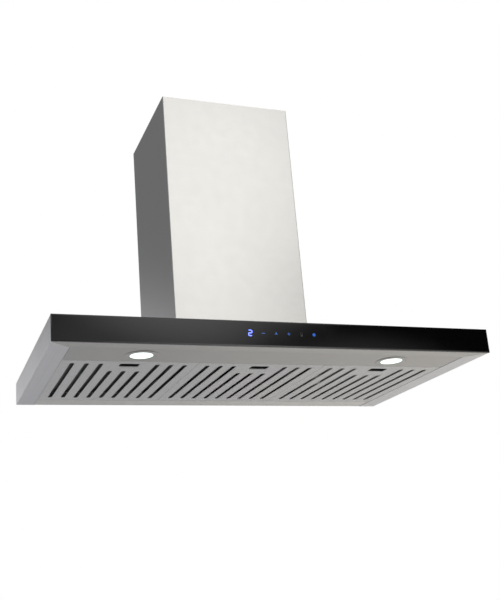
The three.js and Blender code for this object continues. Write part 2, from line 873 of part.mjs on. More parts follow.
function motorBody() {
  const [front, rear] = [motorFace(), bracketPlate + bracketThickness + motorOverhang];
  const body = join(
    cylinder(motorRadius, front, rear),
    cylinder(motorBossRadius, front - motorBossLength, rear + motorBossLength, 0, 0, turnedFacets),
  );
  const bore = cylinder(
    shaftRadius + fit, front - motorBossLength - pierce, front + shaftInMotor + fit, 0, 0, rodFacets,
  );
  return body.subtract(bore);
}

function shaftTip() {
  return discOffset + discThickness - hubLength - fit - nutHeight - pierce;
}

function motorShaft() {
  return cylinder(shaftRadius, shaftTip(), motorFace() + shaftInMotor, 0, 0, rodFacets);
}

function impellerNut() {
  const seat = discOffset + discThickness - hubLength - fit;
  return cut(
    cylinder(nutRadius, seat - nutHeight, seat, 0, 0, hexagon),
    cylinder(shaftRadius + fit, seat - nutHeight - pierce, seat + pierce, 0, 0, rodFacets),
  );
}

// A ring round the motor on arms that stand on the volute's side wall.
function motorBracket() {
  const plate = bracketPlate;
  const grip = motorRadius + fit;
  const reach = inletRadius + bellRadius + pierce + bracketThickness;
  const arm = (index) => {
    const turn = (index + 0.5) * 2 * Math.PI / bracketArms;
    const bar = new THREE.BoxGeometry(reach - grip - pierce, bracketArmWidth, bracketThickness);
    bar.translate((reach + grip + pierce) / 2, 0, plate + bracketThickness / 2).rotateZ(turn);
    const height = bracketStandOff - fit;
    const leg = new THREE.BoxGeometry(bracketThickness, bracketArmWidth, height + fit);
    leg.translate(reach - bracketThickness / 2, 0, plate - height / 2 + fit / 2).rotateZ(turn);
    return join(solid(bar), solid(leg));
  };
  const arms = Array.from({ length: bracketArms }, (_, i) => arm(i));
  return join(ring(grip, grip + bracketRing, plate, plate + bracketThickness), ...arms);
}

// ---- Outlet collar and damper. The origin is the duct's centre, on the blower box's top ----

function ductCollar() {
  const inner = collarRadius - sheet;
  const half = collarRadius + collarFlange;
  const stopTop = spindleRise - flapThickness / 2 - fit;
  const flange = box(-half, half, -half, half, 0, sheet);
  const tube = cylinder(collarRadius, 0, collarHeight);
  const bore = cylinder(inner, -pierce, collarHeight + pierce);
  const stop = cut(
    cylinder(inner + sheet / 2, stopTop - stopHeight, stopTop),
    cylinder(inner - stopWidth, stopTop - stopHeight - pierce, stopTop + pierce),
    box(
      -collarRadius, collarRadius, -spindleRadius - 2 * pierce, spindleRadius + 2 * pierce,
      stopTop - stopHeight - pierce, stopTop + pierce,
    ),
  );
  const reach = collarRadius + pierce;
  const spindleHole = cylinderAlongX(spindleRadius + fit, -reach, reach, 0, spindleRise);
  return cut(join(cut(join(flange, tube), bore), stop), spindleHole);
}

function damperSpindle() {
  const reach = collarRadius + spindleOverhang;
  return cylinderAlongX(spindleRadius, -reach, reach, 0, spindleRise);
}

// A half disc on one side of the spindle. Knuckles span from and to, in X.
function damperFlap(side, knuckles) {
  const radius = collarRadius - sheet - flapGap;
  const outer = spindleRadius + fit + knuckleWall;
  const plateEdge = outer + fit;
  const [z0, z1] = [spindleRise - flapThickness / 2, spindleRise + flapThickness / 2];
  const far = radius + pierce;
  const keep = side > 0 ? [plateEdge, far] : [-far, -plateEdge];
  const disc = cylinder(radius, z0, z1);
  const plate = disc.intersect(box(-far, far, ...keep, z0 - pierce, z1 + pierce));
  const [inside, outside] = [side * (outer - knuckleWall / 2), side * (plateEdge + fit)];
  const [y0, y1] = [Math.min(inside, outside), Math.max(inside, outside)];
  const parts = knuckles.flatMap(([x0, x1]) => [
    cylinderAlongX(outer, x0, x1, 0, spindleRise),
    box(x0, x1, y0, y1, z0, z1),
  ]);
  const bore = cylinderAlongX(spindleRadius + fit, -far, far, 0, spindleRise);
  return cut(join(plate, ...parts), bore);
}

function outerKnuckles() {
  const near = knuckleLength / 2 + knuckleGap;
  return [[-near - knuckleLength, -near], [near, near + knuckleLength]];
}

// ---- Electrical parts ----

// An open-topped tray. The origin is its centre, on the blower box's top.
function controlBox() {
  const [x, y] = [controlBoxWidth / 2, controlBoxDepth / 2];
  const height = controlBoxHeight - boxLid;
  const tray = cut(
    box(-x, x, -y, y, fit, height),
    box(-x + boxWall, x - boxWall, -y + boxWall, y - boxWall, fit + boxWall, height + pierce),
  );
  return tray.subtract(cylinderAlongX(
    glandRadius - boxWall + fit, x - boxWall - pierce, x + pierce, 0, controlBoxHeight / 2,
  ));
}

function controlBoxLid() {
  const [x, y] = [controlBoxWidth / 2, controlBoxDepth / 2];
  const base = controlBoxHeight - boxLid + fit;
  return box(-x, x, -y, y, base, controlBoxHeight);
}

// Mains cable gland in the end wall of the control box. Z = 0 is the wall's outside.
function cableGland() {
  const neck = glandRadius - boxWall;
  return revolve([
    [glandBore, -boxWall - fit], [neck, -boxWall - fit], [neck, fit],
    [glandRadius, fit], [glandRadius, glandLength / 2],
    [neck, glandLength], [glandBore, glandLength],
  ], turnedFacets);
}

function capacitor() {
  return revolve([
    [0, 0], [capacitorRadius, 0], [capacitorRadius, capacitorHeight],
    [capacitorRadius / 2, capacitorHeight], [capacitorRadius / 2, capacitorHeight + boxLid],
    [0, capacitorHeight + boxLid],
  ], turnedFacets);
}

function ledDriver() {
  const [x, y] = [driverLength / 2, driverDepth / 2];
  return box(-x, x, -y, y, -driverHeight, -fit);
}

// ---- Assembly ----

function addControls(hood) {
  const controls = groupAt(hood, controlCentre, -canopyDepth, controlRise);
  place(controls, 'control_housing', controlHousing(), blackPlastic);
  place(controls, 'control_board', controlBoard(), greenBoard);
  place(controls, 'display_module', displayModule(), displayBlue);
  for (let i = 0; i < touchPadCount; i += 1) {
    place(controls, `touch_pad_${i + 1}`, touchPad(i), blackPlastic);
  }
}

function addLightPanel(hood) {
  const panel = groupAt(hood, 0, lightPanelFront, panelUnderside);
  place(panel, 'light_panel', lightPanel(), brushedSteel);
  lampPlaces().forEach((x, i) => {
    const lamp = groupAt(panel, x, lampY(), 0);
    place(lamp, `lamp_bezel_${sideNames[i]}`, lampBezel(), chrome);
    place(lamp, `lamp_lens_${sideNames[i]}`, lampLens(), lampWhite);
    place(lamp, `lamp_module_${sideNames[i]}`, lampModule(), aluminium);
  });
}

function addFilters(hood) {
  filterPlaces().forEach((x, i) => {
    const filter = groupAt(hood, x, -rearRailDepth, panelUnderside);
    place(filter, `filter_face_${filterNames[i]}`, filterFace(), brushedSteel);
    place(filter, `filter_baffle_${filterNames[i]}`, filterBaffle(), brushedSteel);
    const latch = groupAt(filter, 0, -filterLength + latchFromFront, 0);
    place(latch, `latch_cup_${filterNames[i]}`, latchCup(), blackPlastic);
    place(latch, `filter_latch_${filterNames[i]}`, filterLatch(), blackPlastic);
    place(latch, `latch_spring_${filterNames[i]}`, latchSpring(), chrome);
  });
}

function addBlower(hood) {
  const housing = groupAt(hood, 0, housingCentreY, canopyTop + fit);
  place(housing, 'motor_housing', motorHousing(), galvanised);
  screwPlaces().forEach(([x, y], i) => {
    const screw = groupAt(housing, x, y - housingCentreY, sheet);
    place(screw, `housing_screw_${i + 1}`, flangeScrew(), chrome);
  });

  const blower = groupAt(housing, 0, -axleForward, axleRise);
  const turned = new THREE.Matrix4().makeBasis(
    new THREE.Vector3(0, 1, 0), new THREE.Vector3(0, 0, 1), new THREE.Vector3(1, 0, 0),
  );
  blower.quaternion.setFromRotationMatrix(turned);
  [-1, 1].forEach((side, i) => {
    place(blower, `volute_${sideNames[i]}`, volute(side), galvanised);
    place(blower, `inlet_ring_${sideNames[i]}`, inletRing(side), galvanised);
  });
  place(blower, 'motor_body', motorBody(), aluminium);
  place(blower, 'motor_bracket', motorBracket(), galvanised);
  place(blower, 'motor_shaft', motorShaft(), chrome);
  place(blower, 'impeller', impeller(), blackPlastic);
  place(blower, 'impeller_nut', impellerNut(), chrome);

  const storage = groupAt(
    hood, -housingWidth / 2 + sheet + 2 * capacitorRadius,
    -housingRearGap - sheet - 2 * capacitorRadius, canopyTop + fit,
  );
  place(storage, 'capacitor', capacitor(), greyPlastic);
}

function addOutlet(hood) {
  const outlet = groupAt(hood, 0, ductY, housingTop + fit);
  place(outlet, 'duct_collar', ductCollar(), galvanised);
  place(outlet, 'damper_spindle', damperSpindle(), chrome);
  place(outlet, 'damper_flap_front', damperFlap(-1, outerKnuckles()), galvanised);
  const middle = [[-knuckleLength / 2, knuckleLength / 2]];
  place(outlet, 'damper_flap_rear', damperFlap(1, middle), galvanised);
}

function addElectrics(hood) {
  const front = housingCentreY - housingDepth / 2;
  const box = groupAt(hood, 0, front + sheet + controlBoxDepth / 2, housingTop);
  place(box, 'control_box', controlBox(), greyPlastic);
  place(box, 'control_box_lid', controlBoxLid(), greyPlastic);
  const gland = groupAt(box, controlBoxWidth / 2, 0, controlBoxHeight / 2);
  gland.rotation.y = Math.PI / 2;
  place(gland, 'cable_gland', cableGland(), blackPlastic);

  const driverY = -canopyDepth + frontRim + driverDepth;
  const driver = groupAt(hood, driverCentre, driverY, canopyTop - sheet);
  place(driver, 'led_driver', ledDriver(), greyPlastic);
  place(hood, 'control_cable', controlCable(), blackPlastic);
}

function addFlue(hood) {
  const flue = groupAt(hood, 0, 0, canopyTop + fit);
  place(flue, 'lower_flue', lowerFlue(), brushedSteel);
  const { foot, width, depth, height } = upperFlueSize();
  const upper = groupAt(flue, 0, -sheet - flueSlide, foot);
  place(upper, 'upper_flue', flueSection(width, depth, height), brushedSteel);
  place(upper, 'upper_flue_bracket', flueBracket(), galvanised);
}

function rangeHood() {
  const hood = new THREE.Group();
  place(hood, 'canopy_shell', canopyShell(), brushedSteel);
  place(hood, 'glass_fascia', glassFascia(), blackGlass);
  const rail = groupAt(hood, 0, 0, panelUnderside);
  place(rail, 'rear_rail', rearRail(), brushedSteel);
  addControls(hood);
  addLightPanel(hood);
  addFilters(hood);
  addBlower(hood);
  addOutlet(hood);
  addElectrics(hood);
  addFlue(hood);
  return hood;
}

export default rangeHood();
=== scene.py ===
"""Chimney range hood: the finished look of every piece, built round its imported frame.

All lengths are in metres. X runs along the wall, the hood's front faces -Y and Z is up.
"""

from contextlib import contextmanager
from math import cos, pi, radians, sin

import bmesh
import bpy
from bpy.props import FloatProperty, FloatVectorProperty, IntProperty, PointerProperty
from mathutils import Matrix, Vector


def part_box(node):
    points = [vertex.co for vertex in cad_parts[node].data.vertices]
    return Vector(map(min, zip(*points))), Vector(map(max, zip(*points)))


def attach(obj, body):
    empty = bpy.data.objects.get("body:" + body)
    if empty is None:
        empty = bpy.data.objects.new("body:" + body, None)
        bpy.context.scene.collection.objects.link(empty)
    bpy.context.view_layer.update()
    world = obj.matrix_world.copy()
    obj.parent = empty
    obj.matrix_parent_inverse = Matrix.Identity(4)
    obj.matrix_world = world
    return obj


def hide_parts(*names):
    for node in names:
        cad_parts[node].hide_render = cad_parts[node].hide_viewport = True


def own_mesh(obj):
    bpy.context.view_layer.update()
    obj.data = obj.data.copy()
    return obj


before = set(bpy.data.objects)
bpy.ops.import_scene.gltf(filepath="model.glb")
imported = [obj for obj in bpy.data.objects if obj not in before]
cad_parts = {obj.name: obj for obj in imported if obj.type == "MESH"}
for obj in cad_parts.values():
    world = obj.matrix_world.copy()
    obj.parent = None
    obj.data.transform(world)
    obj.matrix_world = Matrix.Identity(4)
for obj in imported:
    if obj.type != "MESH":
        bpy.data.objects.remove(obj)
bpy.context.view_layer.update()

bl_info = {
    "name": "Chimney Range Hood",
    "version": (1, 0, 0),
    "blender": (4, 5, 0),
    "location": "View3D > Sidebar > Range Hood",
    "description": "Models the pieces and finishes of a chimney range hood",
    "category": "Object",
}

MM = 0.001
SIDES = ("left", "right")
FILTERS = ("left", "centre", "right")
X_AXIS = Vector((1, 0, 0))
Y_AXIS = Vector((0, 1, 0))
Z_AXIS = Vector((0, 0, 1))


# ---- Sizes and colours ----


def length(name, description, default):
    """A length in metres, given in millimetres."""
    return FloatProperty(name=name, description=description, default=default * MM, unit="LENGTH")


def colour(name, description, default):
    return FloatVectorProperty(
        name=name, description=description, default=default, subtype="COLOR", min=0, max=1
    )


class HoodSizes(bpy.types.PropertyGroup):
    """Sizes of the details that the frame leaves to the finish."""

    sheet: length("Sheet", "Thickness of the folded steel", 1)
    bend: length("Bend radius", "Outside radius of a fold in the sheet", 1.5)
    fold: length("Panel fold", "Outside radius of the folds round an inset panel", 0.9)
    seam: length("Seam", "Open seam between the rims and the light panel", 1.6)
    edge: length("Edge radius", "Radius of a cut and deburred edge", 0.25)
    side_rim: length("Side rim", "Width of the canopy's side rims", 40)
    front_rim: length("Front rim", "Width of the canopy's front rim", 35)
    lip: length("Rim lip", "Height of the rims' turned-up edges", 9)
    keyhole_spacing: length("Keyhole spacing", "Distance between the wall fixings", 600)
    keyhole: length("Keyhole", "Radius of a keyhole's entry", 7)
    keyhole_slot: length("Keyhole slot", "Width of a keyhole's slot", 7)
    keyhole_rise: length("Keyhole rise", "Height of a keyhole's slot", 14)
    blower_ledge: length("Blower ledge", "Blower flange's edge to the canopy's opening", 19)
    mitre: length("Mitre line", "Width of the line where two rims meet", 0.35)
    flue_return: length("Flue return", "Flange at each side of the flue's open back", 15)
    flue_foot: length("Flue foot", "Inturned flange at the flue's foot", 6)
    glass_border: length("Glass border", "Width of the ground border of the glass", 2.6)
    glass_fall: length("Glass fall", "How far the ground border falls back", 0.35)
    print_rise: length("Print rise", "Height of the lit marks on the glass", 0.04)
    digit_height: length("Digit height", "Height of the speed digit", 12.5)
    icon: length("Icon", "Width of a touch mark", 8)
    slot_pitch: length("Slot pitch", "Distance between the filters' slots", 28.2)
    slot_width: length("Slot width", "Width of a filter slot", 10)
    slot_lip: length("Slot lip", "Height of a slot's turned-up lip", 1.5)
    slot_end: length("Slot end", "Filter's edge to its slots' ends", 20)
    short_slot: length("Short slot", "Filter's front edge to the slots behind the latch", 73.2)
    recess_width: length("Recess width", "Width of a latch recess", 40)
    recess_depth: length("Recess depth", "Depth of a latch recess, front to back", 24)
    recess_corner: length("Recess corner", "Corner radius of a latch recess", 5)
    recess_back: length("Recess place", "Filter's front edge to the recess centre", 29)
    tab_spacing: length("Tab spacing", "Distance between a filter's two rear tabs", 160)
    tab_width: length("Tab width", "Width of a filter's rear tab", 20)
    tab_reach: length("Tab reach", "How far a rear tab stands out behind its filter", 9.5)
    tab_root: length("Tab root", "How far a rear tab runs in over the filter's floor", 6)
    tab_corner: length("Tab corner", "Corner radius of a rear tab", 3)
    fit_gap: length("Fit gap", "Clearance between pieces that touch", 0.3)
    slot_margin: length("Slot margin", "Filter's side edge to the first slot's middle", 18)
    tongue_rise: length("Tongue rise", "Filter's underside to its latch tongue", 5)
    tongue_thickness: length("Tongue thickness", "Thickness of the latch tongue", 1.5)
    tongue_half: length("Tongue half width", "Half the width of the latch tongue", 8)
    latch_travel: length("Latch travel", "How far a latch slides", 6)
    latch_half: length("Latch half width", "Half the width of the latch's grip", 15)
    screw_hole: length("Screw hole", "Radius of the hole round a blower screw", 2.3)
    rear_rim: length("Rear rim", "How far a filter's rear wall stands over its other walls", 5)
    spring_wire: length("Spring wire", "Radius of the latch spring's wire", 0.35)
    spring_turns: IntProperty(name="Spring turns", description="Turns of the latch spring", default=5)


class HoodColours(bpy.types.PropertyGroup):
    """Colours of the finishes."""

    steel: colour("Steel", "Brushed stainless steel", (0.66, 0.65, 0.625))
    # Painted light: the side rims are the canopy's own steel, given a lighter, cooler colour that stands
    # in for the light falling on them; their front-to-back grain is real.
    side_rim: colour("Side rim", "Stainless steel brushed from front to back", (0.84, 0.84, 0.855))
    # Painted light: the filters' stainless is given a much lighter colour than the body steel, standing
    # in for the light on them; their fine speckle is the real blasted finish.
    filter: colour("Filter", "Fine-blasted stainless steel of the filters", (0.85, 0.848, 0.84))
    zinc: colour("Zinc", "Galvanised sheet", (0.50, 0.52, 0.54))
    glass: colour("Glass", "Black tempered glass", (0.0015, 0.0015, 0.0017))
    black: colour("Black plastic", "Moulded black plastic", (0.02, 0.02, 0.022))
    grey: colour("Grey plastic", "Moulded grey plastic", (0.55, 0.55, 0.54))
    board: colour("Board", "Solder mask of the circuit board", (0.03, 0.16, 0.07))
    aluminium: colour("Aluminium", "Cast aluminium", (0.60, 0.61, 0.62))
    bright: colour("Bright steel", "Plated steel", (0.72, 0.72, 0.73))
    lit_mark: colour("Lit mark", "Glow of a lit touch mark", (0.05, 0.16, 0.55))
    lit_digit: colour("Lit digit", "Glow of the speed digit", (0.14, 0.20, 1.0))
    unlit: colour("Unlit mark", "Print of an unlit touch mark", (0.12, 0.12, 0.125))
    lamp: colour("Lamp", "Glow of the lamps", (0.97, 1.0, 0.98))
    lamp_rim: colour("Lamp rim", "Glow near a lens's edge", (0.72, 1.0, 0.86))
    floor: colour("Floor", "Studio floor near the hood", (0.503, 0.505, 0.518))
    floor_far: colour("Far floor", "Studio floor beyond the hood's right end", (0.92, 0.89, 0.835))


def sizes():
    return bpy.context.scene.hood_sizes


def colours():
    return bpy.context.scene.hood_colours


# ---- Working on one piece at a time ----


def clear():
    """Object mode, with nothing selected."""
    if bpy.context.object and bpy.context.object.mode != "OBJECT":
        bpy.ops.object.mode_set(mode="OBJECT")
    bpy.ops.object.select_all(action="DESELECT")


def activate(piece):
    clear()
    piece.select_set(True)
    bpy.context.view_layer.objects.active = piece


@contextmanager
def shaping(piece):
    """Edit mode on one piece, with nothing selected."""
    activate(piece)
    bpy.ops.object.mode_set(mode="EDIT")
    bpy.ops.mesh.select_all(action="DESELECT")
    yield
    bpy.ops.object.mode_set(mode="OBJECT")


def pick(piece, kind, wanted):
    """In edit mode, selects only the elements that pass a test."""
    bpy.ops.mesh.select_mode(type=kind)
    bpy.ops.mesh.select_all(action="DESELECT")
    mesh = bmesh.from_edit_mesh(piece.data)
    elements = {"VERT": mesh.verts, "EDGE": mesh.edges, "FACE": mesh.faces}[kind]
    for element in elements:
        if wanted(element):
            element.select_set(True)
    mesh.select_flush_mode()
    bmesh.update_edit_mesh(piece.data)


def pick_faces(piece, wanted):
    """Selects faces by their centre and normal."""
    pick(piece, "FACE", lambda face: wanted(face.calc_center_median(), face.normal))


def pick_edges(piece, wanted):
    """Selects edges by their two ends."""
    pick(piece, "EDGE", lambda edge: wanted(edge.verts[0].co, edge.verts[1].co))


def pick_points(piece, wanted):
    """Selects vertices by their place."""
    pick(piece, "VERT", lambda vert: wanted(vert.co))


def near(a, b, reach=0.05 * MM):
    return abs(a - b) < reach


def settle(name):
    """Names the new primitive and moves its place, turn and scale into its mesh."""
    piece = bpy.context.active_object
    piece.name = name
    piece.data.name = name
    bpy.ops.object.transform_apply(location=True, rotation=True, scale=True)
    return piece


def block(name, low, high):
    """A box between two corners."""
    clear()
    low, high = Vector(low), Vector(high)
    bpy.ops.mesh.primitive_cube_add(size=1, location=(low + high) / 2, scale=high - low)
    return settle(name)


def rod(name, radius, start, end, segments=32):
    """A round bar between two points."""
    clear()
    start, end = Vector(start), Vector(end)
    turn = (end - start).to_track_quat("Z", "Y").to_euler()
    bpy.ops.mesh.primitive_cylinder_add(
        vertices=segments, radius=radius, depth=(end - start).length,
        location=(start + end) / 2, rotation=turn,
    )
    return settle(name)


def hoop(name, radius, centre, segments=16, filled=False):
    """A level ring of edges, none of whose points lies on the X or Y axis through its centre."""
    clear()
    bpy.ops.mesh.primitive_circle_add(
        vertices=segments, radius=radius / cos(pi / segments), location=centre,
        rotation=(0, 0, pi / segments), fill_type="NGON" if filled else "NOTHING",
    )
    return settle(name)


def spread(piece, centre, dx=0.0, dy=0.0):
    """Draws a ring out into a rounded rectangle or a slot."""
    with shaping(piece):
        for axis, reach in ((0, dx), (1, dy)):
            for sign in (-1, 1):
                pick_points(piece, lambda co: (co[axis] - centre[axis]) * sign > 0)
                move = Vector((0, 0, 0))
                move[axis] = sign * reach
                bpy.ops.transform.translate(value=move)


def turned(name, profile, centre=(0, 0, 0), axis=Z_AXIS, segments=64):
    """A closed profile of [radius, height] points, spun right round an axis through its centre."""
    clear()
    bpy.ops.mesh.primitive_circle_add(vertices=len(profile), radius=1, fill_type="NOTHING")
    piece = settle(name)
    centre = Vector(centre)
    across = X_AXIS if abs(axis.x) < 0.5 else Y_AXIS
    for vertex, (radius, height) in zip(piece.data.vertices, profile):
        vertex.co = centre + across * radius + axis * height
    with shaping(piece):
        bpy.ops.mesh.select_all(action="SELECT")
        bpy.ops.mesh.spin(steps=segments, angle=2 * pi, center=centre, axis=axis)
        merge()
    return piece


def merge(reach=0.005 * MM):
    """In edit mode, joins doubled points and turns every face outwards."""
    bpy.ops.mesh.select_all(action="SELECT")
    bpy.ops.mesh.remove_doubles(threshold=reach)
    bpy.ops.mesh.normals_make_consistent(inside=False)


def modify(piece, kind, **settings):
    """Adds a modifier and applies it."""
    modifier = piece.modifiers.new(kind.title(), kind)
    for key, value in settings.items():
        setattr(modifier, key, value)
    activate(piece)
    bpy.ops.object.modifier_apply(modifier=modifier.name)


def combine(piece, tool, operation):
    """Cuts a tool out of a piece, or welds it on."""
    modify(piece, "BOOLEAN", operation=operation, solver="EXACT", object=tool)
    bpy.data.objects.remove(tool)


def joined(pieces):
    """Several meshes as one piece, named as the first."""
    activate(pieces[0])
    for piece in pieces:
        piece.select_set(True)
    bpy.ops.object.join()
    return pieces[0]


def copied(piece, name, move=(0, 0, 0)):
    """A copy with a mesh of its own, moved."""
    copy = piece.copy()
    copy.data = piece.data.copy()
    copy.name = name
    copy.data.name = name
    copy.data.transform(Matrix.Translation(move))
    bpy.context.collection.objects.link(copy)
    return copy


def from_node(node, name):
    """A node's own shape as one skin, its flat triangles made whole faces again."""
    clear()
    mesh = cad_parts[node].data.copy()
    mesh.name = name
    mesh.materials.clear()
    piece = bpy.data.objects.new(name, mesh)
    bpy.context.collection.objects.link(piece)
    with shaping(piece):
        bpy.ops.mesh.customdata_custom_splitnormals_clear()
        bpy.ops.mesh.select_all(action="SELECT")
        bpy.ops.mesh.remove_doubles(threshold=0.01 * MM)
        bpy.ops.mesh.dissolve_limited(angle_limit=radians(0.5))
    return piece


def bend(piece, radius, steps=3, sharpness=50):
    """Rounds every sharp fold of an open skin."""
    with shaping(piece):
        bpy.ops.mesh.select_mode(type="EDGE")
        bpy.ops.mesh.edges_select_sharp(sharpness=radians(sharpness))
        bpy.ops.mesh.bevel(offset=radius, segments=steps, affect="EDGES", clamp_overlap=True)


def thicken(piece, thickness, offset=-1):
    """Turns a skin that faces outwards into a sheet."""
    with shaping(piece):
        merge()
    modify(
        piece, "SOLIDIFY", thickness=thickness, offset=offset, use_even_offset=True,
        use_quality_normals=True,
    )


def deburr(piece, radius=None, steps=2, angle=40):
    """Rounds the sharp edges that are left, and shades flat faces flat and curved ones smooth."""
    width = sizes().edge if radius is None else radius
    modify(
        piece, "BEVEL", width=width, segments=steps, limit_method="ANGLE",
        angle_limit=radians(angle), use_clamp_overlap=True,
    )
    smooth(piece)


def smooth(piece, angle=35):
    activate(piece)
    bpy.ops.object.shade_smooth_by_angle(angle=radians(angle))
    modify(piece, "WEIGHTED_NORMAL", keep_sharp=True, mode="FACE_AREA", weight=60)


def fit(piece, body, slot, nodes, *finishes):
    """Gives a piece its finish and its body, and hides the nodes that it stands for."""
    if finishes:
        piece.data.materials.clear()
    for finish in finishes:
        piece.data.materials.append(finish)
    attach(piece, body)
    if nodes:
        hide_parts(*nodes)
    return piece


def middle(node):
    low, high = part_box(node)
    return (low + high) / 2


# ---- Shader nodes ----


def add(tree, kind, **values):
    """A node with its settings, and its inputs set by name. Spaces in a name are written as _."""
    node = tree.nodes.new(kind)
    for key, value in values.items():
        if hasattr(node, key):
            setattr(node, key, value)
        else:
            node.inputs[key.replace("_", " ")].default_value = value
    return node


def maths(tree, operation, first, second=None, clamp=False):
    """A Math node. Each operand is a number or another node's output."""
    node = tree.nodes.new("ShaderNodeMath")
    node.operation = operation
    node.use_clamp = clamp
    for index, operand in enumerate((first, second)):
        if isinstance(operand, bpy.types.NodeSocket):
            tree.links.new(operand, node.inputs[index])
        elif operand is not None:
            node.inputs[index].default_value = operand
    return node.outputs[0]


def stretched(tree, source, scale, kind="ShaderNodeTexNoise", **values):
    """A texture on scaled coordinates."""
    mapping = add(tree, "ShaderNodeMapping")
    mapping.inputs["Scale"].default_value = scale
    tree.links.new(source, mapping.inputs["Vector"])
    texture = add(tree, kind, **values)
    tree.links.new(mapping.outputs["Vector"], texture.inputs["Vector"])
    return texture.outputs[0]


def remap(tree, source, low, high, to_low, to_high):
    node = add(
        tree, "ShaderNodeMapRange", From_Min=low, From_Max=high, To_Min=to_low, To_Max=to_high
    )
    tree.links.new(source, node.inputs["Value"])
    return node.outputs["Result"]


def blend(tree, amount, first, second):
    """A colour between two, by an amount. Each is a colour or another node's output."""
    node = tree.nodes.new("ShaderNodeMix")
    node.data_type = "RGBA"
    sockets = {0: amount, 6: first, 7: second}
    for index, value in sockets.items():
        if isinstance(value, bpy.types.NodeSocket):
            tree.links.new(value, node.inputs[index])
        elif index == 0:
            node.inputs[index].default_value = value
        else:
            node.inputs[index].default_value = (*value[:3], 1)
    return node.outputs[2]


def group(name, inputs, outputs):
    """An empty shader group. Inputs are name: default pairs, outputs name: kind pairs."""
    tree = bpy.data.node_groups.new(name, "ShaderNodeTree")
    for key, default in inputs.items():
        socket = tree.interface.new_socket(key, in_out="INPUT", socket_type="NodeSocketFloat")
        socket.default_value = default
    for key, kind in outputs.items():
        tree.interface.new_socket(key, in_out="OUTPUT", socket_type=kind)
    return tree, tree.nodes.new("NodeGroupInput").outputs, tree.nodes.new("NodeGroupOutput").inputs


def brushed_grain():
    """Fine scratches: level on upright faces, and along X or Y on level ones."""
    tree, given, out = group(
        "brushed_grain",
        {"Lines": 900.0, "Coarse Lines": 260.0, "Across": 0.0},
        {"Grain": "NodeSocketFloat", "Coarse": "NodeSocketFloat"},
    )
    place = add(tree, "ShaderNodeTexCoord")
    facing = tree.nodes.new("ShaderNodeSeparateXYZ")
    tree.links.new(place.outputs["Normal"], facing.inputs[0])
    level = maths(tree, "GREATER_THAN", maths(tree, "ABSOLUTE", facing.outputs["Z"]), 0.7)
    for lines, result in (("Lines", "Grain"), ("Coarse Lines", "Coarse")):
        upright = stretched(tree, place.outputs["Object"], (0.003, 0.003, 1), Detail=3.0)
        along_x = stretched(tree, place.outputs["Object"], (0.003, 1, 0.003), Detail=3.0)
        along_y = stretched(tree, place.outputs["Object"], (1, 0.003, 0.003), Detail=3.0)
        for texture in (upright, along_x, along_y):
            tree.links.new(given[lines], texture.node.inputs["Scale"])
        flat = tree.nodes.new("ShaderNodeMix")
        tree.links.new(given["Across"], flat.inputs[0])
        tree.links.new(along_x, flat.inputs[2])
        tree.links.new(along_y, flat.inputs[3])
        either = tree.nodes.new("ShaderNodeMix")
        tree.links.new(level, either.inputs[0])
        tree.links.new(upright, either.inputs[2])
        tree.links.new(flat.outputs[0], either.inputs[3])
        tree.links.new(either.outputs[0], out[result])
    return tree


def handling():
    """Soft patches left by wiping and touching, as a mask."""
    tree, given, out = group(
        "handling", {"Size": 7.0, "Amount": 0.5}, {"Smudge": "NodeSocketFloat"}
    )
    place = add(tree, "ShaderNodeTexCoord")
    broad = add(tree, "ShaderNodeTexNoise", Detail=4.0, Roughness=0.6)
    tree.links.new(place.outputs["Object"], broad.inputs["Vector"])
    tree.links.new(given["Size"], broad.inputs["Scale"])
    patches = remap(tree, broad.outputs[0], 0.42, 0.68, 0.0, 1.0)
    tree.links.new(maths(tree, "MULTIPLY", patches, given["Amount"]), out["Smudge"])
    return tree


def fine_speckle():
    """Tiny pits of a blasted, moulded or cast skin, fine and coarse."""
    tree, given, out = group(
        "fine_speckle", {"Density": 900.0}, {"Pits": "NodeSocketFloat", "Clouds": "NodeSocketFloat"}
    )
    place = add(tree, "ShaderNodeTexCoord")
    pits = add(tree, "ShaderNodeTexNoise", Detail=2.0, Roughness=0.7)
    tree.links.new(place.outputs["Object"], pits.inputs["Vector"])
    tree.links.new(given["Density"], pits.inputs["Scale"])
    clouds = add(tree, "ShaderNodeTexNoise", Scale=40.0, Detail=3.0)
    tree.links.new(place.outputs["Object"], clouds.inputs["Vector"])
    tree.links.new(pits.outputs[0], out["Pits"])
    tree.links.new(clouds.outputs[0], out["Clouds"])
    return tree


def spangle():
    """The crystal pattern of a zinc coat: a value for each crystal, and its boundaries."""
    tree, given, out = group(
        "spangle", {"Crystals": 90.0}, {"Crystal": "NodeSocketFloat", "Boundary": "NodeSocketFloat"}
    )
    place = add(tree, "ShaderNodeTexCoord")
    cells = add(tree, "ShaderNodeTexVoronoi")
    edges = add(tree, "ShaderNodeTexVoronoi", feature="DISTANCE_TO_EDGE")
    for texture in (cells, edges):
        tree.links.new(place.outputs["Object"], texture.inputs["Vector"])
        tree.links.new(given["Crystals"], texture.inputs["Scale"])
    parts = tree.nodes.new("ShaderNodeSeparateColor")
    tree.links.new(cells.outputs["Color"], parts.inputs[0])
    tree.links.new(parts.outputs[0], out["Crystal"])
    tree.links.new(remap(tree, edges.outputs[0], 0.0, 0.06, 1.0, 0.0), out["Boundary"])
    return tree


def shared(maker):
    """A shader group that is built once and then used again."""
    return bpy.data.node_groups.get(maker.__name__) or maker()


def use(tree, maker, **values):
    """Places a shared group with its own values, and gives its outputs."""
    node = tree.nodes.new("ShaderNodeGroup")
    node.node_tree = shared(maker)
    for key, value in values.items():
        node.inputs[key.replace("_", " ")].default_value = value
    return node.outputs


def surface(name, **values):
    """A new material with one Principled shader. Gives the material, its tree and the shader."""
    made = bpy.data.materials.new(name)
    made.use_nodes = True
    tree = made.node_tree
    shader = tree.nodes["Principled BSDF"]
    for key, value in values.items():
        shader.inputs[key.replace("_", " ")].default_value = value
    return made, tree, shader


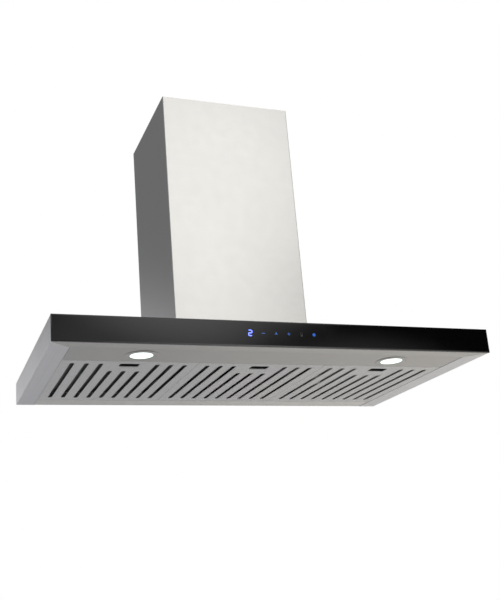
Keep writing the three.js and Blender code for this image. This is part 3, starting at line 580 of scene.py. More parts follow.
def relief(tree, shader, height, distance, strength=1.0):
    """Feeds a height through a Bump node to the shader's normal."""
    bump = add(tree, "ShaderNodeBump", Strength=strength, Distance=distance)
    tree.links.new(height, bump.inputs["Height"])
    tree.links.new(bump.outputs["Normal"], shader.inputs["Normal"])
    return bump


def brushed_steel(name, tint, roughness=0.26, across=0.0, contrast=0.10, speckle=0.0, depth=1.0):
    """Stainless sheet with a directional grain, soft wipe marks and, on pressings, a fine speckle."""
    made, tree, shader = surface(name, Metallic=1.0)
    grain = use(tree, brushed_grain, Across=across)
    marks = use(tree, handling, Size=5.0, Amount=0.55)
    dots = use(tree, fine_speckle, Density=420.0)
    lines = maths(tree, "ADD", grain["Grain"], grain["Coarse"])
    shade = remap(tree, lines, 0.7, 1.3, 1 - contrast, 1 + contrast)
    dotted = remap(tree, dots["Pits"], 0.35, 0.65, 1 - speckle, 1 + speckle)
    cloud = remap(tree, dots["Clouds"], 0.3, 0.7, 0.985, 1.015)
    both = maths(tree, "MULTIPLY", maths(tree, "MULTIPLY", shade, dotted), cloud)
    tinted = tree.nodes.new("ShaderNodeVectorMath")
    tinted.operation = "SCALE"
    tinted.inputs[0].default_value = tint
    tree.links.new(both, tinted.inputs["Scale"])
    tree.links.new(tinted.outputs[0], shader.inputs["Base Color"])
    rough = remap(tree, lines, 0.6, 1.4, roughness - 0.05 * depth, roughness + 0.05 * depth)
    wiped = maths(tree, "MULTIPLY", marks["Smudge"], 0.04 * depth)
    tree.links.new(maths(tree, "ADD", rough, wiped), shader.inputs["Roughness"])
    relief(tree, shader, lines, 0.012 * MM * depth)
    return made


def galvanised(name="galvanised"):
    """Dull zinc-coated sheet with its crystal pattern."""
    tint = Vector(colours().zinc)
    made, tree, shader = surface(name, Metallic=0.9)
    crystals = use(tree, spangle, Crystals=95.0)
    dots = use(tree, fine_speckle, Density=700.0)
    light = blend(tree, crystals["Crystal"], tint * 0.84, tint * 1.12)
    edged = blend(tree, maths(tree, "MULTIPLY", crystals["Boundary"], 0.35), light, tint * 0.7)
    tree.links.new(edged, shader.inputs["Base Color"])
    rough = remap(tree, crystals["Crystal"], 0.0, 1.0, 0.36, 0.52)
    tree.links.new(rough, shader.inputs["Roughness"])
    height = maths(tree, "ADD", dots["Pits"], maths(tree, "MULTIPLY", crystals["Crystal"], 0.6))
    relief(tree, shader, height, 0.02 * MM)
    return made


def moulded(name, tint, roughness, density=900.0, depth=0.02 * MM):
    """Moulded plastic with a spark-eroded texture and slightly polished, handled patches."""
    tint = Vector(tint)
    made, tree, shader = surface(name)
    dots = use(tree, fine_speckle, Density=density)
    marks = use(tree, handling, Size=18.0, Amount=1.0)
    base = blend(tree, dots["Clouds"], tint * 0.88, tint * 1.12)
    tree.links.new(base, shader.inputs["Base Color"])
    rough = remap(tree, marks["Smudge"], 0.0, 1.0, roughness + 0.06, roughness - 0.08)
    tree.links.new(rough, shader.inputs["Roughness"])
    relief(tree, shader, dots["Pits"], depth)
    return made


def black_glass(name="black_glass"):
    """Polished glass over a black print, with faint wipe marks."""
    tint = Vector(colours().glass)
    made, tree, shader = surface(name, IOR=1.5)
    marks = use(tree, handling, Size=9.0, Amount=1.0)
    dots = use(tree, fine_speckle, Density=1400.0)
    base = blend(tree, dots["Clouds"], tint * 0.9, tint * 1.1)
    tree.links.new(base, shader.inputs["Base Color"])
    rough = remap(tree, marks["Smudge"], 0.0, 1.0, 0.05, 0.085)
    tree.links.new(rough, shader.inputs["Roughness"])
    relief(tree, shader, dots["Clouds"], 0.01 * MM)
    return made


def cast(name="cast_aluminium"):
    tint = Vector(colours().aluminium)
    made, tree, shader = surface(name, Metallic=0.9)
    dots = use(tree, fine_speckle, Density=520.0)
    base = blend(tree, dots["Clouds"], tint * 0.85, tint * 1.1)
    tree.links.new(base, shader.inputs["Base Color"])
    rough = remap(tree, dots["Pits"], 0.3, 0.7, 0.38, 0.52)
    tree.links.new(rough, shader.inputs["Roughness"])
    relief(tree, shader, dots["Pits"], 0.05 * MM)
    return made


def bright_steel(name="bright_steel"):
    tint = Vector(colours().bright)
    made, tree, shader = surface(name, Metallic=1.0)
    marks = use(tree, handling, Size=60.0, Amount=1.0)
    grain = use(tree, brushed_grain, Lines=2400.0, Coarse_Lines=900.0)
    base = blend(tree, marks["Smudge"], tint, tint * 0.9)
    tree.links.new(base, shader.inputs["Base Color"])
    rough = remap(tree, grain["Grain"], 0.3, 0.7, 0.12, 0.2)
    tree.links.new(rough, shader.inputs["Roughness"])
    relief(tree, shader, grain["Grain"], 0.004 * MM)
    return made


def circuit_board(name="circuit_board"):
    """Green solder mask with copper tracks under it."""
    tint = Vector(colours().board)
    made, tree, shader = surface(name)
    place = add(tree, "ShaderNodeTexCoord")
    tracks = add(tree, "ShaderNodeTexBrick", Scale=260.0, Mortar_Size=0.06)
    tree.links.new(place.outputs["Object"], tracks.inputs["Vector"])
    base = blend(tree, tracks.outputs["Fac"], tint * 0.75, tint * 1.5)
    tree.links.new(base, shader.inputs["Base Color"])
    rough = remap(tree, tracks.outputs["Fac"], 0.0, 1.0, 0.35, 0.25)
    tree.links.new(rough, shader.inputs["Roughness"])
    relief(tree, shader, tracks.outputs["Fac"], 0.03 * MM)
    return made


def glow(name, tint, strength, roughness=0.3):
    """A lit mark: its print glows a little unevenly, in fine spots."""
    tint = Vector(tint)
    made, tree, shader = surface(name, Emission_Strength=strength, Roughness=roughness)
    dots = use(tree, fine_speckle, Density=1500.0)
    level = remap(tree, dots["Pits"], 0.3, 0.7, 0.0, 1.0)
    tree.links.new(blend(tree, level, tint * 0.85, tint), shader.inputs["Emission Color"])
    tree.links.new(blend(tree, level, tint * 0.4, tint * 0.5), shader.inputs["Base Color"])
    return made


def lamp_glow(name="lamp_lens"):
    """Frosted lens, white in the middle and faintly green at its rim."""
    palette = colours()
    lamp = middle("lamp_lens_right")
    low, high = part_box("lamp_lens_right")
    radius = (high.x - low.x) / 2
    made, tree, shader = surface(name, Emission_Strength=1.6)
    place = add(tree, "ShaderNodeTexCoord")
    parts = tree.nodes.new("ShaderNodeSeparateXYZ")
    tree.links.new(place.outputs["Object"], parts.inputs[0])
    across = maths(tree, "SUBTRACT", maths(tree, "ABSOLUTE", parts.outputs["X"]), lamp.x)
    along = maths(tree, "SUBTRACT", parts.outputs["Y"], lamp.y)
    squares = maths(tree, "ADD", maths(tree, "POWER", maths(tree, "ABSOLUTE", across), 2.0),
                    maths(tree, "POWER", maths(tree, "ABSOLUTE", along), 2.0))
    out = maths(tree, "DIVIDE", maths(tree, "SQRT", squares), radius)
    rim = remap(tree, out, 0.78, 1.0, 0.0, 1.0)
    tree.links.new(blend(tree, rim, palette.lamp, palette.lamp_rim), shader.inputs["Emission Color"])
    shader.inputs["Base Color"].default_value = (0.85, 0.88, 0.86, 1)
    rings = maths(tree, "SINE", maths(tree, "MULTIPLY", out, 90.0))
    rough = remap(tree, rings, -1.0, 1.0, 0.35, 0.5)
    tree.links.new(rough, shader.inputs["Roughness"])
    relief(tree, shader, rings, 0.05 * MM)
    return made


def finish(name):
    """The named finish, made the first time that it is asked for."""
    if name not in bpy.data.materials:
        palette = colours()
        steel = Vector(palette.steel)
        makers = {
            "steel_brushed": lambda: brushed_steel(name, steel, 0.3, contrast=0.035),
            # Painted shade: the front rim is the canopy's own steel, darkened to 0.92 of it.
            "steel_rim_painted_shade": lambda: brushed_steel(name, steel * 0.92, 0.3, contrast=0.03),
            # Painted shade: the light panel and the lamp rings take the body steel darkened to 0.89 of
            # it.
            "steel_panel_painted_shade": lambda: brushed_steel(name, steel * 0.89, 0.32, contrast=0.03),
            # Painted light: the rear rail takes the body steel lightened to 1.36 times.
            "steel_rail_painted_light": lambda: brushed_steel(name, steel * 1.36, 0.32, contrast=0.03),
            # Painted light: the side rims' lighter, cooler copy of the canopy steel.
            "steel_side_rim_painted_light": lambda: brushed_steel(name, Vector(palette.side_rim), 0.32, 1.0, 0.05),
            "steel_flue": lambda: brushed_steel(name, steel, 0.25, contrast=0.012, depth=0.3),
            # Painted light: the filters' lighter copy of stainless, with the real blasted speckle.
            "steel_filter_painted_light": lambda: brushed_steel(
                name, Vector(palette.filter), 0.42, contrast=0.02, speckle=0.16
            ),
            # Painted shade: the baffles inside the filters are the body steel darkened to 0.32 of it,
            # standing in for the shade behind the slots.
            "steel_baffle_painted_shade": lambda: brushed_steel(name, steel * 0.32, 0.5, speckle=0.1),
            "zinc": lambda: galvanised(name),
            "glass": lambda: black_glass(name),
            "plastic_black": lambda: moulded(name, palette.black, 0.5),
            "plastic_grey": lambda: moulded(name, palette.grey, 0.45),
            "aluminium_cast": lambda: cast(name),
            "steel_bright": lambda: bright_steel(name),
            "board_green": lambda: circuit_board(name),
            "mark_lit": lambda: glow(name, palette.lit_mark, 0.85),
            "digit_lit": lambda: glow(name, palette.lit_digit, 3.2),
            "mark_unlit": lambda: moulded(name, palette.unlit, 0.4, density=1500.0),
            "lamp_lit": lambda: lamp_glow(name),
        }
        makers[name]()
    return bpy.data.materials[name]


# ---- Canopy ----


class HOOD_OT_canopy(bpy.types.Operator):
    """Folds the flat canopy box from one sheet"""

    bl_idname = "hood.canopy"
    bl_label = "Canopy"

    def execute(self, context):
        size = sizes()
        low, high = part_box("canopy_shell")
        mouth_x = high.x - size.side_rim
        mouth_y = low.y + size.front_rim
        canopy = block("canopy", low, high)
        for coat in ("steel_brushed", "steel_side_rim_painted_light", "steel_rim_painted_shade"):
            canopy.data.materials.append(finish(coat))
        with shaping(canopy):
            self.cut_underside(canopy, mouth_x, mouth_y, low)
            self.cut_top(canopy)
            self.cut_front(canopy)
            pick_edges(canopy, lambda a, b: (
                near(a.z, low.z) and near(b.z, low.z) and self.on_mouth(a, b, mouth_x, mouth_y)
            ))
            bpy.ops.mesh.extrude_edges_move(
                TRANSFORM_OT_translate={"value": (0, 0, size.lip + size.sheet)}
            )
            merge()
            self.coat_rims(canopy, low, high)
        bend(canopy, size.bend)
        thicken(canopy, size.sheet)
        self.bore(canopy, low, high)
        deburr(canopy, angle=60)
        fit(canopy, "hood", "stainless", ["canopy_shell"])
        return {"FINISHED"}

    def coat_rims(self, canopy, low, high):
        """Brushes the side rims from front to back and the front rim from left to right, and gives the
        side rims a lighter colour as painted light and the front rim a darker one as painted shade.
        """
        size = sizes()
        mesh = bmesh.from_edit_mesh(canopy.data)
        for face in mesh.faces:
            centre = face.calc_center_median()
            if face.normal.z < -0.9:
                from_side = (high.x - abs(centre.x)) / size.side_rim
                from_front = (centre.y - low.y) / size.front_rim
                face.material_index = 1 if from_side < from_front else 2
        bmesh.update_edit_mesh(canopy.data)

    def on_mouth(self, a, b, mouth_x, mouth_y):
        beside = near(abs(a.x), mouth_x) and near(a.x, b.x) and min(a.y, b.y) > mouth_y - MM
        before = near(a.y, mouth_y) and near(b.y, mouth_y) and max(abs(a.x), abs(b.x)) < mouth_x + MM
        return beside or before

    def cut_underside(self, canopy, mouth_x, mouth_y, low):
        """The rims' inner edges and mitre lines, and the mouth between them."""
        for point, normal in (
            ((mouth_x, 0, 0), X_AXIS), ((-mouth_x, 0, 0), X_AXIS), ((0, mouth_y, 0), Y_AXIS),
        ):
            pick_faces(canopy, lambda centre, facing: facing.z < -0.9)
            bpy.ops.mesh.bisect(plane_co=point, plane_no=normal)
        for side in (-1, 1):
            mitre = Vector((side * (mouth_x + low.x), mouth_y - low.y, 0))
            across = Vector((mitre.y, -mitre.x, 0)).normalized()
            pick_faces(canopy, lambda centre, facing: (
                facing.z < -0.9 and centre.x * side > mouth_x and centre.y < mouth_y
            ))
            bpy.ops.mesh.bisect(plane_co=(-side * low.x, low.y, 0), plane_no=across)
        pick_faces(canopy, lambda centre, facing: (
            facing.z < -0.9 and abs(centre.x) < mouth_x and centre.y > mouth_y
        ))
        bpy.ops.mesh.delete(type="FACE")

    def cut_window(self, canopy, facing, low, high, axes):
        """Cuts and opens a rectangle in the wall that faces one way."""
        for axis in axes:
            direction = Vector((0, 0, 0))
            direction[axis] = 1
            for corner in (low, high):
                pick_faces(canopy, lambda centre, normal: normal.dot(facing) > 0.9)
                bpy.ops.mesh.bisect(plane_co=corner, plane_no=direction)
        pick_faces(canopy, lambda centre, normal: normal.dot(facing) > 0.9 and all(
            low[axis] < centre[axis] < high[axis] for axis in axes
        ))
        bpy.ops.mesh.delete(type="FACE")

    def cut_top(self, canopy):
        low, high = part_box("motor_housing")
        ledge = Vector((sizes().blower_ledge, sizes().blower_ledge, 0))
        self.cut_window(canopy, Z_AXIS, low + ledge, high - ledge, (0, 1))

    def cut_front(self, canopy):
        low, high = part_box("control_board")
        self.cut_window(canopy, -Y_AXIS, low, high, (0, 2))

    def bore(self, canopy, low, high):
        """Keyholes in the back, screw holes in the top and the two mitre lines."""
        size = sizes()
        deep = 4 * size.sheet
        tools = []
        for side in (-1, 1):
            x = side * size.keyhole_spacing / 2
            half = size.keyhole_slot / 2
            entry = rod("keyhole_tool", size.keyhole, (x, -deep, 0), (x, deep, 0))
            slot = block(
                "keyhole_slot_tool", (x - half, -deep, 0), (x + half, deep, size.keyhole_rise)
            )
            combine(entry, slot, "UNION")
            tools.append(entry)
            corner = Vector((side * high.x, low.y, low.z))
            inner = corner + Vector((-side * size.side_rim, size.front_rim, 0))
            tools.append(self.mitre_tool(corner, inner))
        for index in range(4):
            spot = middle(f"housing_screw_{index + 1}")
            top = Vector((spot.x, spot.y, high.z))
            tools.append(rod("screw_tool", size.screw_hole, top - Z_AXIS * deep, top + Z_AXIS * deep, 16))
        for tool in tools:
            combine(canopy, tool, "DIFFERENCE")

    def mitre_tool(self, start, end):
        """A thin three-sided bar that leaves a V along a line on the underside."""
        half = sizes().mitre / 2
        return rod("mitre_tool", half, start - Z_AXIS * half / 3, end - Z_AXIS * half / 3, 6)


# ---- Glass front ----


class HOOD_OT_glass_front(bpy.types.Operator):
    """Grinds the glass front and prints its digit and touch marks"""

    bl_idname = "hood.glass_front"
    bl_label = "Glass Front"

    def execute(self, context):
        size = sizes()
        low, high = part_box("glass_fascia")
        glass = block("glass_front", low + Y_AXIS * size.glass_fall, high)
        with shaping(glass):
            pick_faces(glass, lambda centre, normal: normal.y < -0.9)
            bpy.ops.mesh.inset(thickness=size.glass_border, depth=size.glass_fall)
        deburr(glass, radius=0.4 * MM, steps=3, angle=60)
        fit(glass, "hood", "black_glass", ["glass_fascia"], finish("glass"))

        self.face = low.y - size.print_rise
        display = middle("display_module")
        self.digit(display.x, display.z, size.digit_height)
        marks = (self.minus, self.rotor, self.plus, self.bulb, self.power)
        for index, mark in enumerate(marks):
            spot = middle(f"touch_pad_{index + 1}")
            piece = joined(mark(spot.x, spot.z, size.icon / 2))
            piece.name = f"touch_mark_{index + 1}"
            unlit = mark == self.bulb
            smooth(piece)
            fit(piece, "hood", "display", [], finish("mark_unlit" if unlit else "mark_lit"))
        return {"FINISHED"}

    def bar(self, x, z, long, wide, turn=0.0):
        """A pointed bar, as thin as print, lying on the glass."""
        clear()
        bpy.ops.mesh.primitive_circle_add(
            vertices=6, radius=wide / 2 / cos(pi / 6), fill_type="NGON", location=(0, 0, 0)
        )
        bar = settle("bar")
        with shaping(bar):
            for side in (-1, 1):
                pick_points(bar, lambda co: co.x * side > 0)
                bpy.ops.transform.translate(value=(side * (long - wide) / 2, 0, 0))
            bpy.ops.mesh.select_all(action="SELECT")
            bpy.ops.mesh.extrude_region_move(
                TRANSFORM_OT_translate={"value": (0, 0, sizes().print_rise * 2)}
            )
            merge()
        stand = Matrix.Rotation(radians(90), 4, "X")
        spin = Matrix.Rotation(turn, 4, "Z")
        shift = Matrix.Translation((x, self.face + 2 * sizes().print_rise, z))
        bar.data.transform(shift @ stand @ spin)
        return bar

    def arc(self, x, z, radius, wide, start, sweep):
        """Part of a ring made of short bars that overlap a little."""
        count = max(6, round(sweep / radians(20)))
        step = sweep / count
        chord = 2 * radius * sin(step / 2) + wide * 0.7
        bars = []
        for index in range(count):
            angle = start + (index + 0.5) * step
            spot = (x + radius * cos(angle), z + radius * sin(angle))
            bars.append(self.bar(*spot, chord, wide, angle + pi / 2))
        return bars

    def digit(self, x, z, height):
        """The figure 2 in seven-segment bars."""
        long = height * 0.5
        thick = height * 0.15
        half = (height - thick) / 4
        bars = [self.bar(x, z + level * 2 * half, long, thick) for level in (-1, 0, 1)]
        for side, level in ((1, 1), (-1, -1)):
            bars.append(self.bar(
                x + side * (long + thick * 0.3) / 2, z + level * half, 2 * half, thick, pi / 2
            ))
        piece = joined(bars)
        piece.name = "speed_digit"
        smooth(piece)
        fit(piece, "hood", "display", [], finish("digit_lit"))

    def minus(self, x, z, half):
        return [self.bar(x, z, 2 * half, half * 0.3)]

    def plus(self, x, z, half):
        half = half * 0.8
        return [self.bar(x, z, 2 * half, half * 0.36, turn) for turn in (0.0, pi / 2)]

    def rotor(self, x, z, half):
        """Three blades round a hub."""
        half = half * 0.75
        blades = [
            self.bar(x + half * 0.5 * cos(turn), z + half * 0.5 * sin(turn), half, half * 0.5, turn)
            for turn in (radians(90), radians(210), radians(330))
        ]
        return blades + self.arc(x, z, half * 0.2, half * 0.2, 0.0, 2 * pi)

    def bulb(self, x, z, half):
        """A round bulb over its cap."""
        glass = self.arc(x, z + half * 0.25, half * 0.6, half * 0.24, radians(-60), radians(300))
        return glass + [self.bar(x, z - half * (0.6 + 0.3 * k), half, half * 0.24) for k in (0, 1)]

    def power(self, x, z, half):
        """A filled round mark."""
        radius = half * 0.38
        return self.arc(x, z, radius, 2 * radius, 0.0, 2 * pi)


class HOOD_OT_flue(bpy.types.Operator):
    """Folds the two telescoping flue covers"""

    bl_idname = "hood.flue"
    bl_label = "Flue"

    def execute(self, context):
        for node, name, body, footed in (
            ("lower_flue", "flue_cover_lower", "hood", True),
            ("upper_flue", "flue_cover_upper", "upper_flue", False),
        ):
            cover = self.cover(node, name, footed)
            fit(cover, body, "stainless", [node], finish("steel_flue"))
        strap = from_node("upper_flue_bracket", "flue_strap")
        deburr(strap, radius=0.5 * MM)
        fit(strap, "upper_flue", "galvanised", ["upper_flue_bracket"], finish("zinc"))
        return {"FINISHED"}

    def cover(self, node, name, footed):
        size = sizes()
        low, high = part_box(node)
        gap = high.x - size.sheet - size.flue_return
        cover = block(name, low, high)
        with shaping(cover):
            for x in (-gap, gap):
                pick_faces(cover, lambda centre, normal: abs(normal.z) < 0.1 and normal.y > 0.9)
                bpy.ops.mesh.bisect(plane_co=(x, 0, 0), plane_no=X_AXIS)
            pick_faces(cover, lambda centre, normal: (
                abs(normal.z) > 0.9 or (normal.y > 0.9 and abs(centre.x) < gap)
            ))
            bpy.ops.mesh.delete(type="FACE")
            if footed:
                self.turn_foot(cover, low, high)
            merge()
        bend(cover, size.bend, steps=4)
        thicken(cover, size.sheet)
        deburr(cover, angle=60)
        return cover

    def turn_foot(self, cover, low, high):
        """An inturned flange along the front and both sides."""
        foot = sizes().flue_foot + sizes().sheet
        pick_edges(cover, lambda a, b: (
            near(a.z, low.z) and near(b.z, low.z) and not (near(a.y, high.y) and near(b.y, high.y))
        ))
        bpy.ops.mesh.extrude_edges_move(TRANSFORM_OT_translate={"value": (0, 0, 0)})
        mesh = bmesh.from_edit_mesh(cover.data)
        for vertex in mesh.verts:
            if vertex.select:
                vertex.co.x += foot if vertex.co.x < 0 else -foot
                vertex.co.y += foot if near(vertex.co.y, low.y) else 0
        bmesh.update_edit_mesh(cover.data)


# ---- Light panel, rear rail and lamps ----


class HOOD_OT_underside(bpy.types.Operator):
    """Dresses the light panel and the rear rail"""

    bl_idname = "hood.underside"
    bl_label = "Underside Panels"

    def execute(self, context):
        size = sizes()
        for node, name, coat in (
            ("light_panel", "lamp_panel", "steel_panel_painted_shade"), ("rear_rail", "filter_rail", "steel_rail_painted_light"),
        ):
            panel = from_node(node, name)
            low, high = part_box(node)
            if node == "light_panel":
                with shaping(panel):
                    pick_points(panel, lambda co: co.y < low.y + 2 * size.seam)
                    bpy.ops.transform.translate(value=(0, size.seam, 0))
                low = low + Y_AXIS * size.seam
            self.fold(panel, low, high)
            deburr(panel, radius=0.3 * MM, steps=2)
            fit(panel, "hood", "stainless", [node], finish(coat))
        return {"FINISHED"}

    def fold(self, panel, low, high):
        """Rounds the outside of the folds round a panel's lower face."""
        edge = max(vertex.co.x for vertex in panel.data.vertices if near(vertex.co.z, low.z))
        with shaping(panel):
            pick_edges(panel, lambda a, b: (
                near(a.z, low.z) and near(b.z, low.z) and (
                    (near(a.x, b.x) and near(abs(a.x), edge))
                    or (near(a.y, b.y) and (near(a.y, low.y) or near(a.y, high.y)))
                )
            ))
            bpy.ops.mesh.bevel(offset=sizes().fold, segments=3, affect="EDGES")


class HOOD_OT_lamps(bpy.types.Operator):
    """Turns the two recessed lamps"""

    bl_idname = "hood.lamps"
    bl_label = "Lamps"

    def execute(self, context):
        for side in SIDES:
            self.bezel(side)
            self.lens(side)
            self.module(side)
        return {"FINISHED"}

    def bezel(self, side):
        node = f"lamp_bezel_{side}"
        low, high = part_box(node)
        spot = middle(node)
        lens_low, lens_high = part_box(f"lamp_lens_{side}")
        outer = (high.x - low.x) / 2
        inner = (lens_high.x - lens_low.x) / 2 + sizes().fit_gap
        tube = inner + 3 * MM
        flange = low.z + 0.7 * MM
        chamfer = 0.3 * MM
        profile = [
            (inner, low.z + 2 * chamfer), (inner + 0.25 * MM, low.z + 0.2 * MM),
            (inner + 0.8 * MM, low.z), (outer - 2.2 * MM, low.z),
            (outer - 1.1 * MM, low.z + 0.1 * MM), (outer - 0.35 * MM, low.z + chamfer),
            (outer, flange), (tube + chamfer, flange), (tube, flange + chamfer),
            (tube, high.z - chamfer), (tube - chamfer, high.z), (inner, high.z),
        ]
        ring = turned(f"lamp_ring_{side}", profile, (spot.x, spot.y, 0))
        smooth(ring, 40)
        fit(ring, "hood", "bright_steel", [node], finish("steel_panel_painted_shade"))

    def lens(self, side):
        node = f"lamp_lens_{side}"
        low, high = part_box(node)
        spot = middle(node)
        radius = (high.x - low.x) / 2
        crown = 0.5 * MM
        steps = 8
        dome = [
            (radius * k / steps, low.z + crown * (k / steps) ** 2) for k in range(steps + 1)
        ]
        chamfer = 0.3 * MM
        profile = dome + [(radius, high.z - chamfer), (radius - chamfer, high.z), (0, high.z)]
        lens = turned(f"lamp_glass_{side}", profile, (spot.x, spot.y, 0))
        smooth(lens)
        fit(lens, "hood", "lamp_lens", [node], finish("lamp_lit"))

    def module(self, side):
        """A cast body with cooling fins stacked round its upper half."""
        node = f"lamp_module_{side}"
        low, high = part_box(node)
        spot = middle(node)
        wide = (high.x - low.x) / 2
        neck = wide - 3 * MM
        core = neck - 2 * MM
        shoulder = high.z - 9 * MM
        chamfer = 0.5 * MM
        draft = 0.1 * MM
        fins = 3
        pitch = (high.z - shoulder) / (2 * fins - 1)
        profile = [(0, low.z), (neck - chamfer, low.z), (neck, low.z + chamfer), (neck, shoulder)]
        for fin in range(fins):
            foot = shoulder + 2 * fin * pitch
            profile += [(wide, foot + draft), (wide, foot + pitch - draft)]
            if fin < fins - 1:
                profile += [(core, foot + pitch), (core, foot + 2 * pitch)]
        profile += [(wide - 2 * chamfer, high.z), (0, high.z)]
        body = turned(f"lamp_heat_sink_{side}", profile, (spot.x, spot.y, 0), segments=48)
        smooth(body, 30)
        fit(body, "hood", "cast_aluminium", [node], finish("aluminium_cast"))


# ---- Filters ----


class HOOD_OT_filters(bpy.types.Operator):
    """Presses the three slotted grease filters"""

    bl_idname = "hood.filters"
    bl_label = "Grease Filters"

    def execute(self, context):
        centre = middle("filter_face_centre")
        face = self.face()
        tray = from_node("filter_baffle_centre", "filter_tray_centre")
        deburr(tray, radius=0.35 * MM)
        for side in FILTERS:
            move = middle(f"filter_face_{side}") - centre
            shell = copied(face, f"filter_panel_{side}", move)
            inner = copied(tray, f"filter_inner_{side}", move)
            fit(
                shell, f"filter_{side}", "stainless", [f"filter_face_{side}"], finish("steel_filter_painted_light")
            )
            fit(
                inner, f"filter_{side}", "stainless", [f"filter_baffle_{side}"],
                finish("steel_baffle_painted_shade"),
            )
        bpy.data.objects.remove(face)
        bpy.data.objects.remove(tray)
        return {"FINISHED"}

    def edges(self):
        """The pan's outside, without its rear tabs."""
        low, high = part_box("filter_face_centre")
        return low, Vector((high.x, high.y - sizes().tab_reach, high.z))

    def opening(self, spot, reach, radius):
        """A rounded opening's turned-up lip. Reach is from its middle to its corner centres."""
        ring = hoop("opening", radius - sizes().fold / 2, spot)
        spread(ring, spot, reach.x, reach.y)
        with shaping(ring):
            bpy.ops.mesh.select_all(action="SELECT")
            bpy.ops.mesh.extrude_edges_move(
                TRANSFORM_OT_translate={"value": (0, 0, sizes().slot_lip)}
            )
        return ring

    def slot_places(self, low, high):
        """Middle and half length of each slot's straight part."""
        size = sizes()
        count = int(((high.x - low.x) / 2 - size.slot_margin) / size.slot_pitch)
        beside = size.recess_width / 2 + size.slot_width + 1.2 * MM
        for step in range(-count, count + 1):
            x = (low.x + high.x) / 2 + step * size.slot_pitch
            start = size.slot_end if abs(step * size.slot_pitch) > beside else size.short_slot
            y0 = low.y + start + size.slot_width / 2
            y1 = high.y - size.slot_end - size.slot_width / 2
            yield x, (y0 + y1) / 2, (y1 - y0) / 2

    def face(self):
        """The pan: a slotted face with a latch recess, folded-up walls and two rear tabs."""
        size = sizes()
        low, high = self.edges()
        openings = []
        for x, y, half in self.slot_places(low, high):
            reach = Vector((0, half, 0))
            openings.append(self.opening(Vector((x, y, low.z)), reach, size.slot_width / 2))
        reach = Vector((
            size.recess_width / 2 - size.recess_corner,
            size.recess_depth / 2 - size.recess_corner, 0,
        ))
        spot = Vector((0, low.y + size.recess_back, low.z))
        openings.append(self.opening(spot, reach, size.recess_corner))
        pan = block("filter_pan", low, high)
        with shaping(pan):
            pick_faces(pan, lambda centre, normal: abs(normal.z) > 0.9)
            bpy.ops.mesh.delete(type="ONLY_FACE")
        face = joined([pan] + openings)
        with shaping(face):
            pick(face, "EDGE", lambda edge: (
                len(edge.link_faces) < 2
                and near(edge.verts[0].co.z, low.z) and near(edge.verts[1].co.z, low.z)
            ))
            bpy.ops.mesh.fill(use_beauty=True)
            merge()
            self.face_down(face, low)
        bend(face, size.fold, sharpness=70)
        modify(
            face, "SOLIDIFY", thickness=size.sheet, offset=-1, use_even_offset=True,
            use_quality_normals=True,
        )
        self.add_tabs(face, low, high)
        self.raise_rear(face, low, high)
        self.cut_window(face, low)
        deburr(face, radius=0.25 * MM, steps=2, angle=60)
        return face

    def face_down(self, face, low):
        """Turns the skin so that the slotted face looks down, if it looks up."""
        mesh = bmesh.from_edit_mesh(face.data)
        flat = [f for f in mesh.faces if near(f.calc_center_median().z, low.z)]
        if sum(f.normal.z * f.calc_area() for f in flat) > 0:
            bpy.ops.mesh.select_all(action="SELECT")
            bpy.ops.mesh.flip_normals()

    def add_tabs(self, face, low, high):
        size = sizes()
        seat = low.z + size.sheet + size.fit_gap
        for side in (-1, 1):
            x = side * size.tab_spacing / 2
            half = size.tab_width / 2
            tab = block(
                "tab", (x - half, high.y - size.tab_root, seat),
                (x + half, high.y + size.tab_reach, seat + size.sheet),
            )
            with shaping(tab):
                pick_edges(tab, lambda a, b: (
                    near(a.y, b.y) and a.y > high.y and near(a.x, b.x)
                ))
                bpy.ops.mesh.bevel(offset=size.tab_corner, segments=4, affect="EDGES")
            combine(face, tab, "UNION")

    def raise_rear(self, face, low, high):
        """Takes the rear wall up over the others."""
        size = sizes()
        end = 3 * MM
        overlap = 2 * MM
        rim = block(
            "rear_rim", (low.x + end, high.y - size.sheet, high.z - overlap),
            (high.x - end, high.y, high.z + size.rear_rim),
        )
        combine(face, rim, "UNION")

    def cut_window(self, face, low):
        """The latch tongue's way out through the front wall."""
        size = sizes()
        half = size.tongue_half + size.fit_gap
        z = low.z + size.tongue_rise
        top = z + size.tongue_thickness + size.fit_gap
        pierce = 2 * MM
        window = block(
            "window", (-half, low.y - pierce, z - size.fit_gap), (half, low.y + size.sheet + pierce, top)
        )
        combine(face, window, "DIFFERENCE")


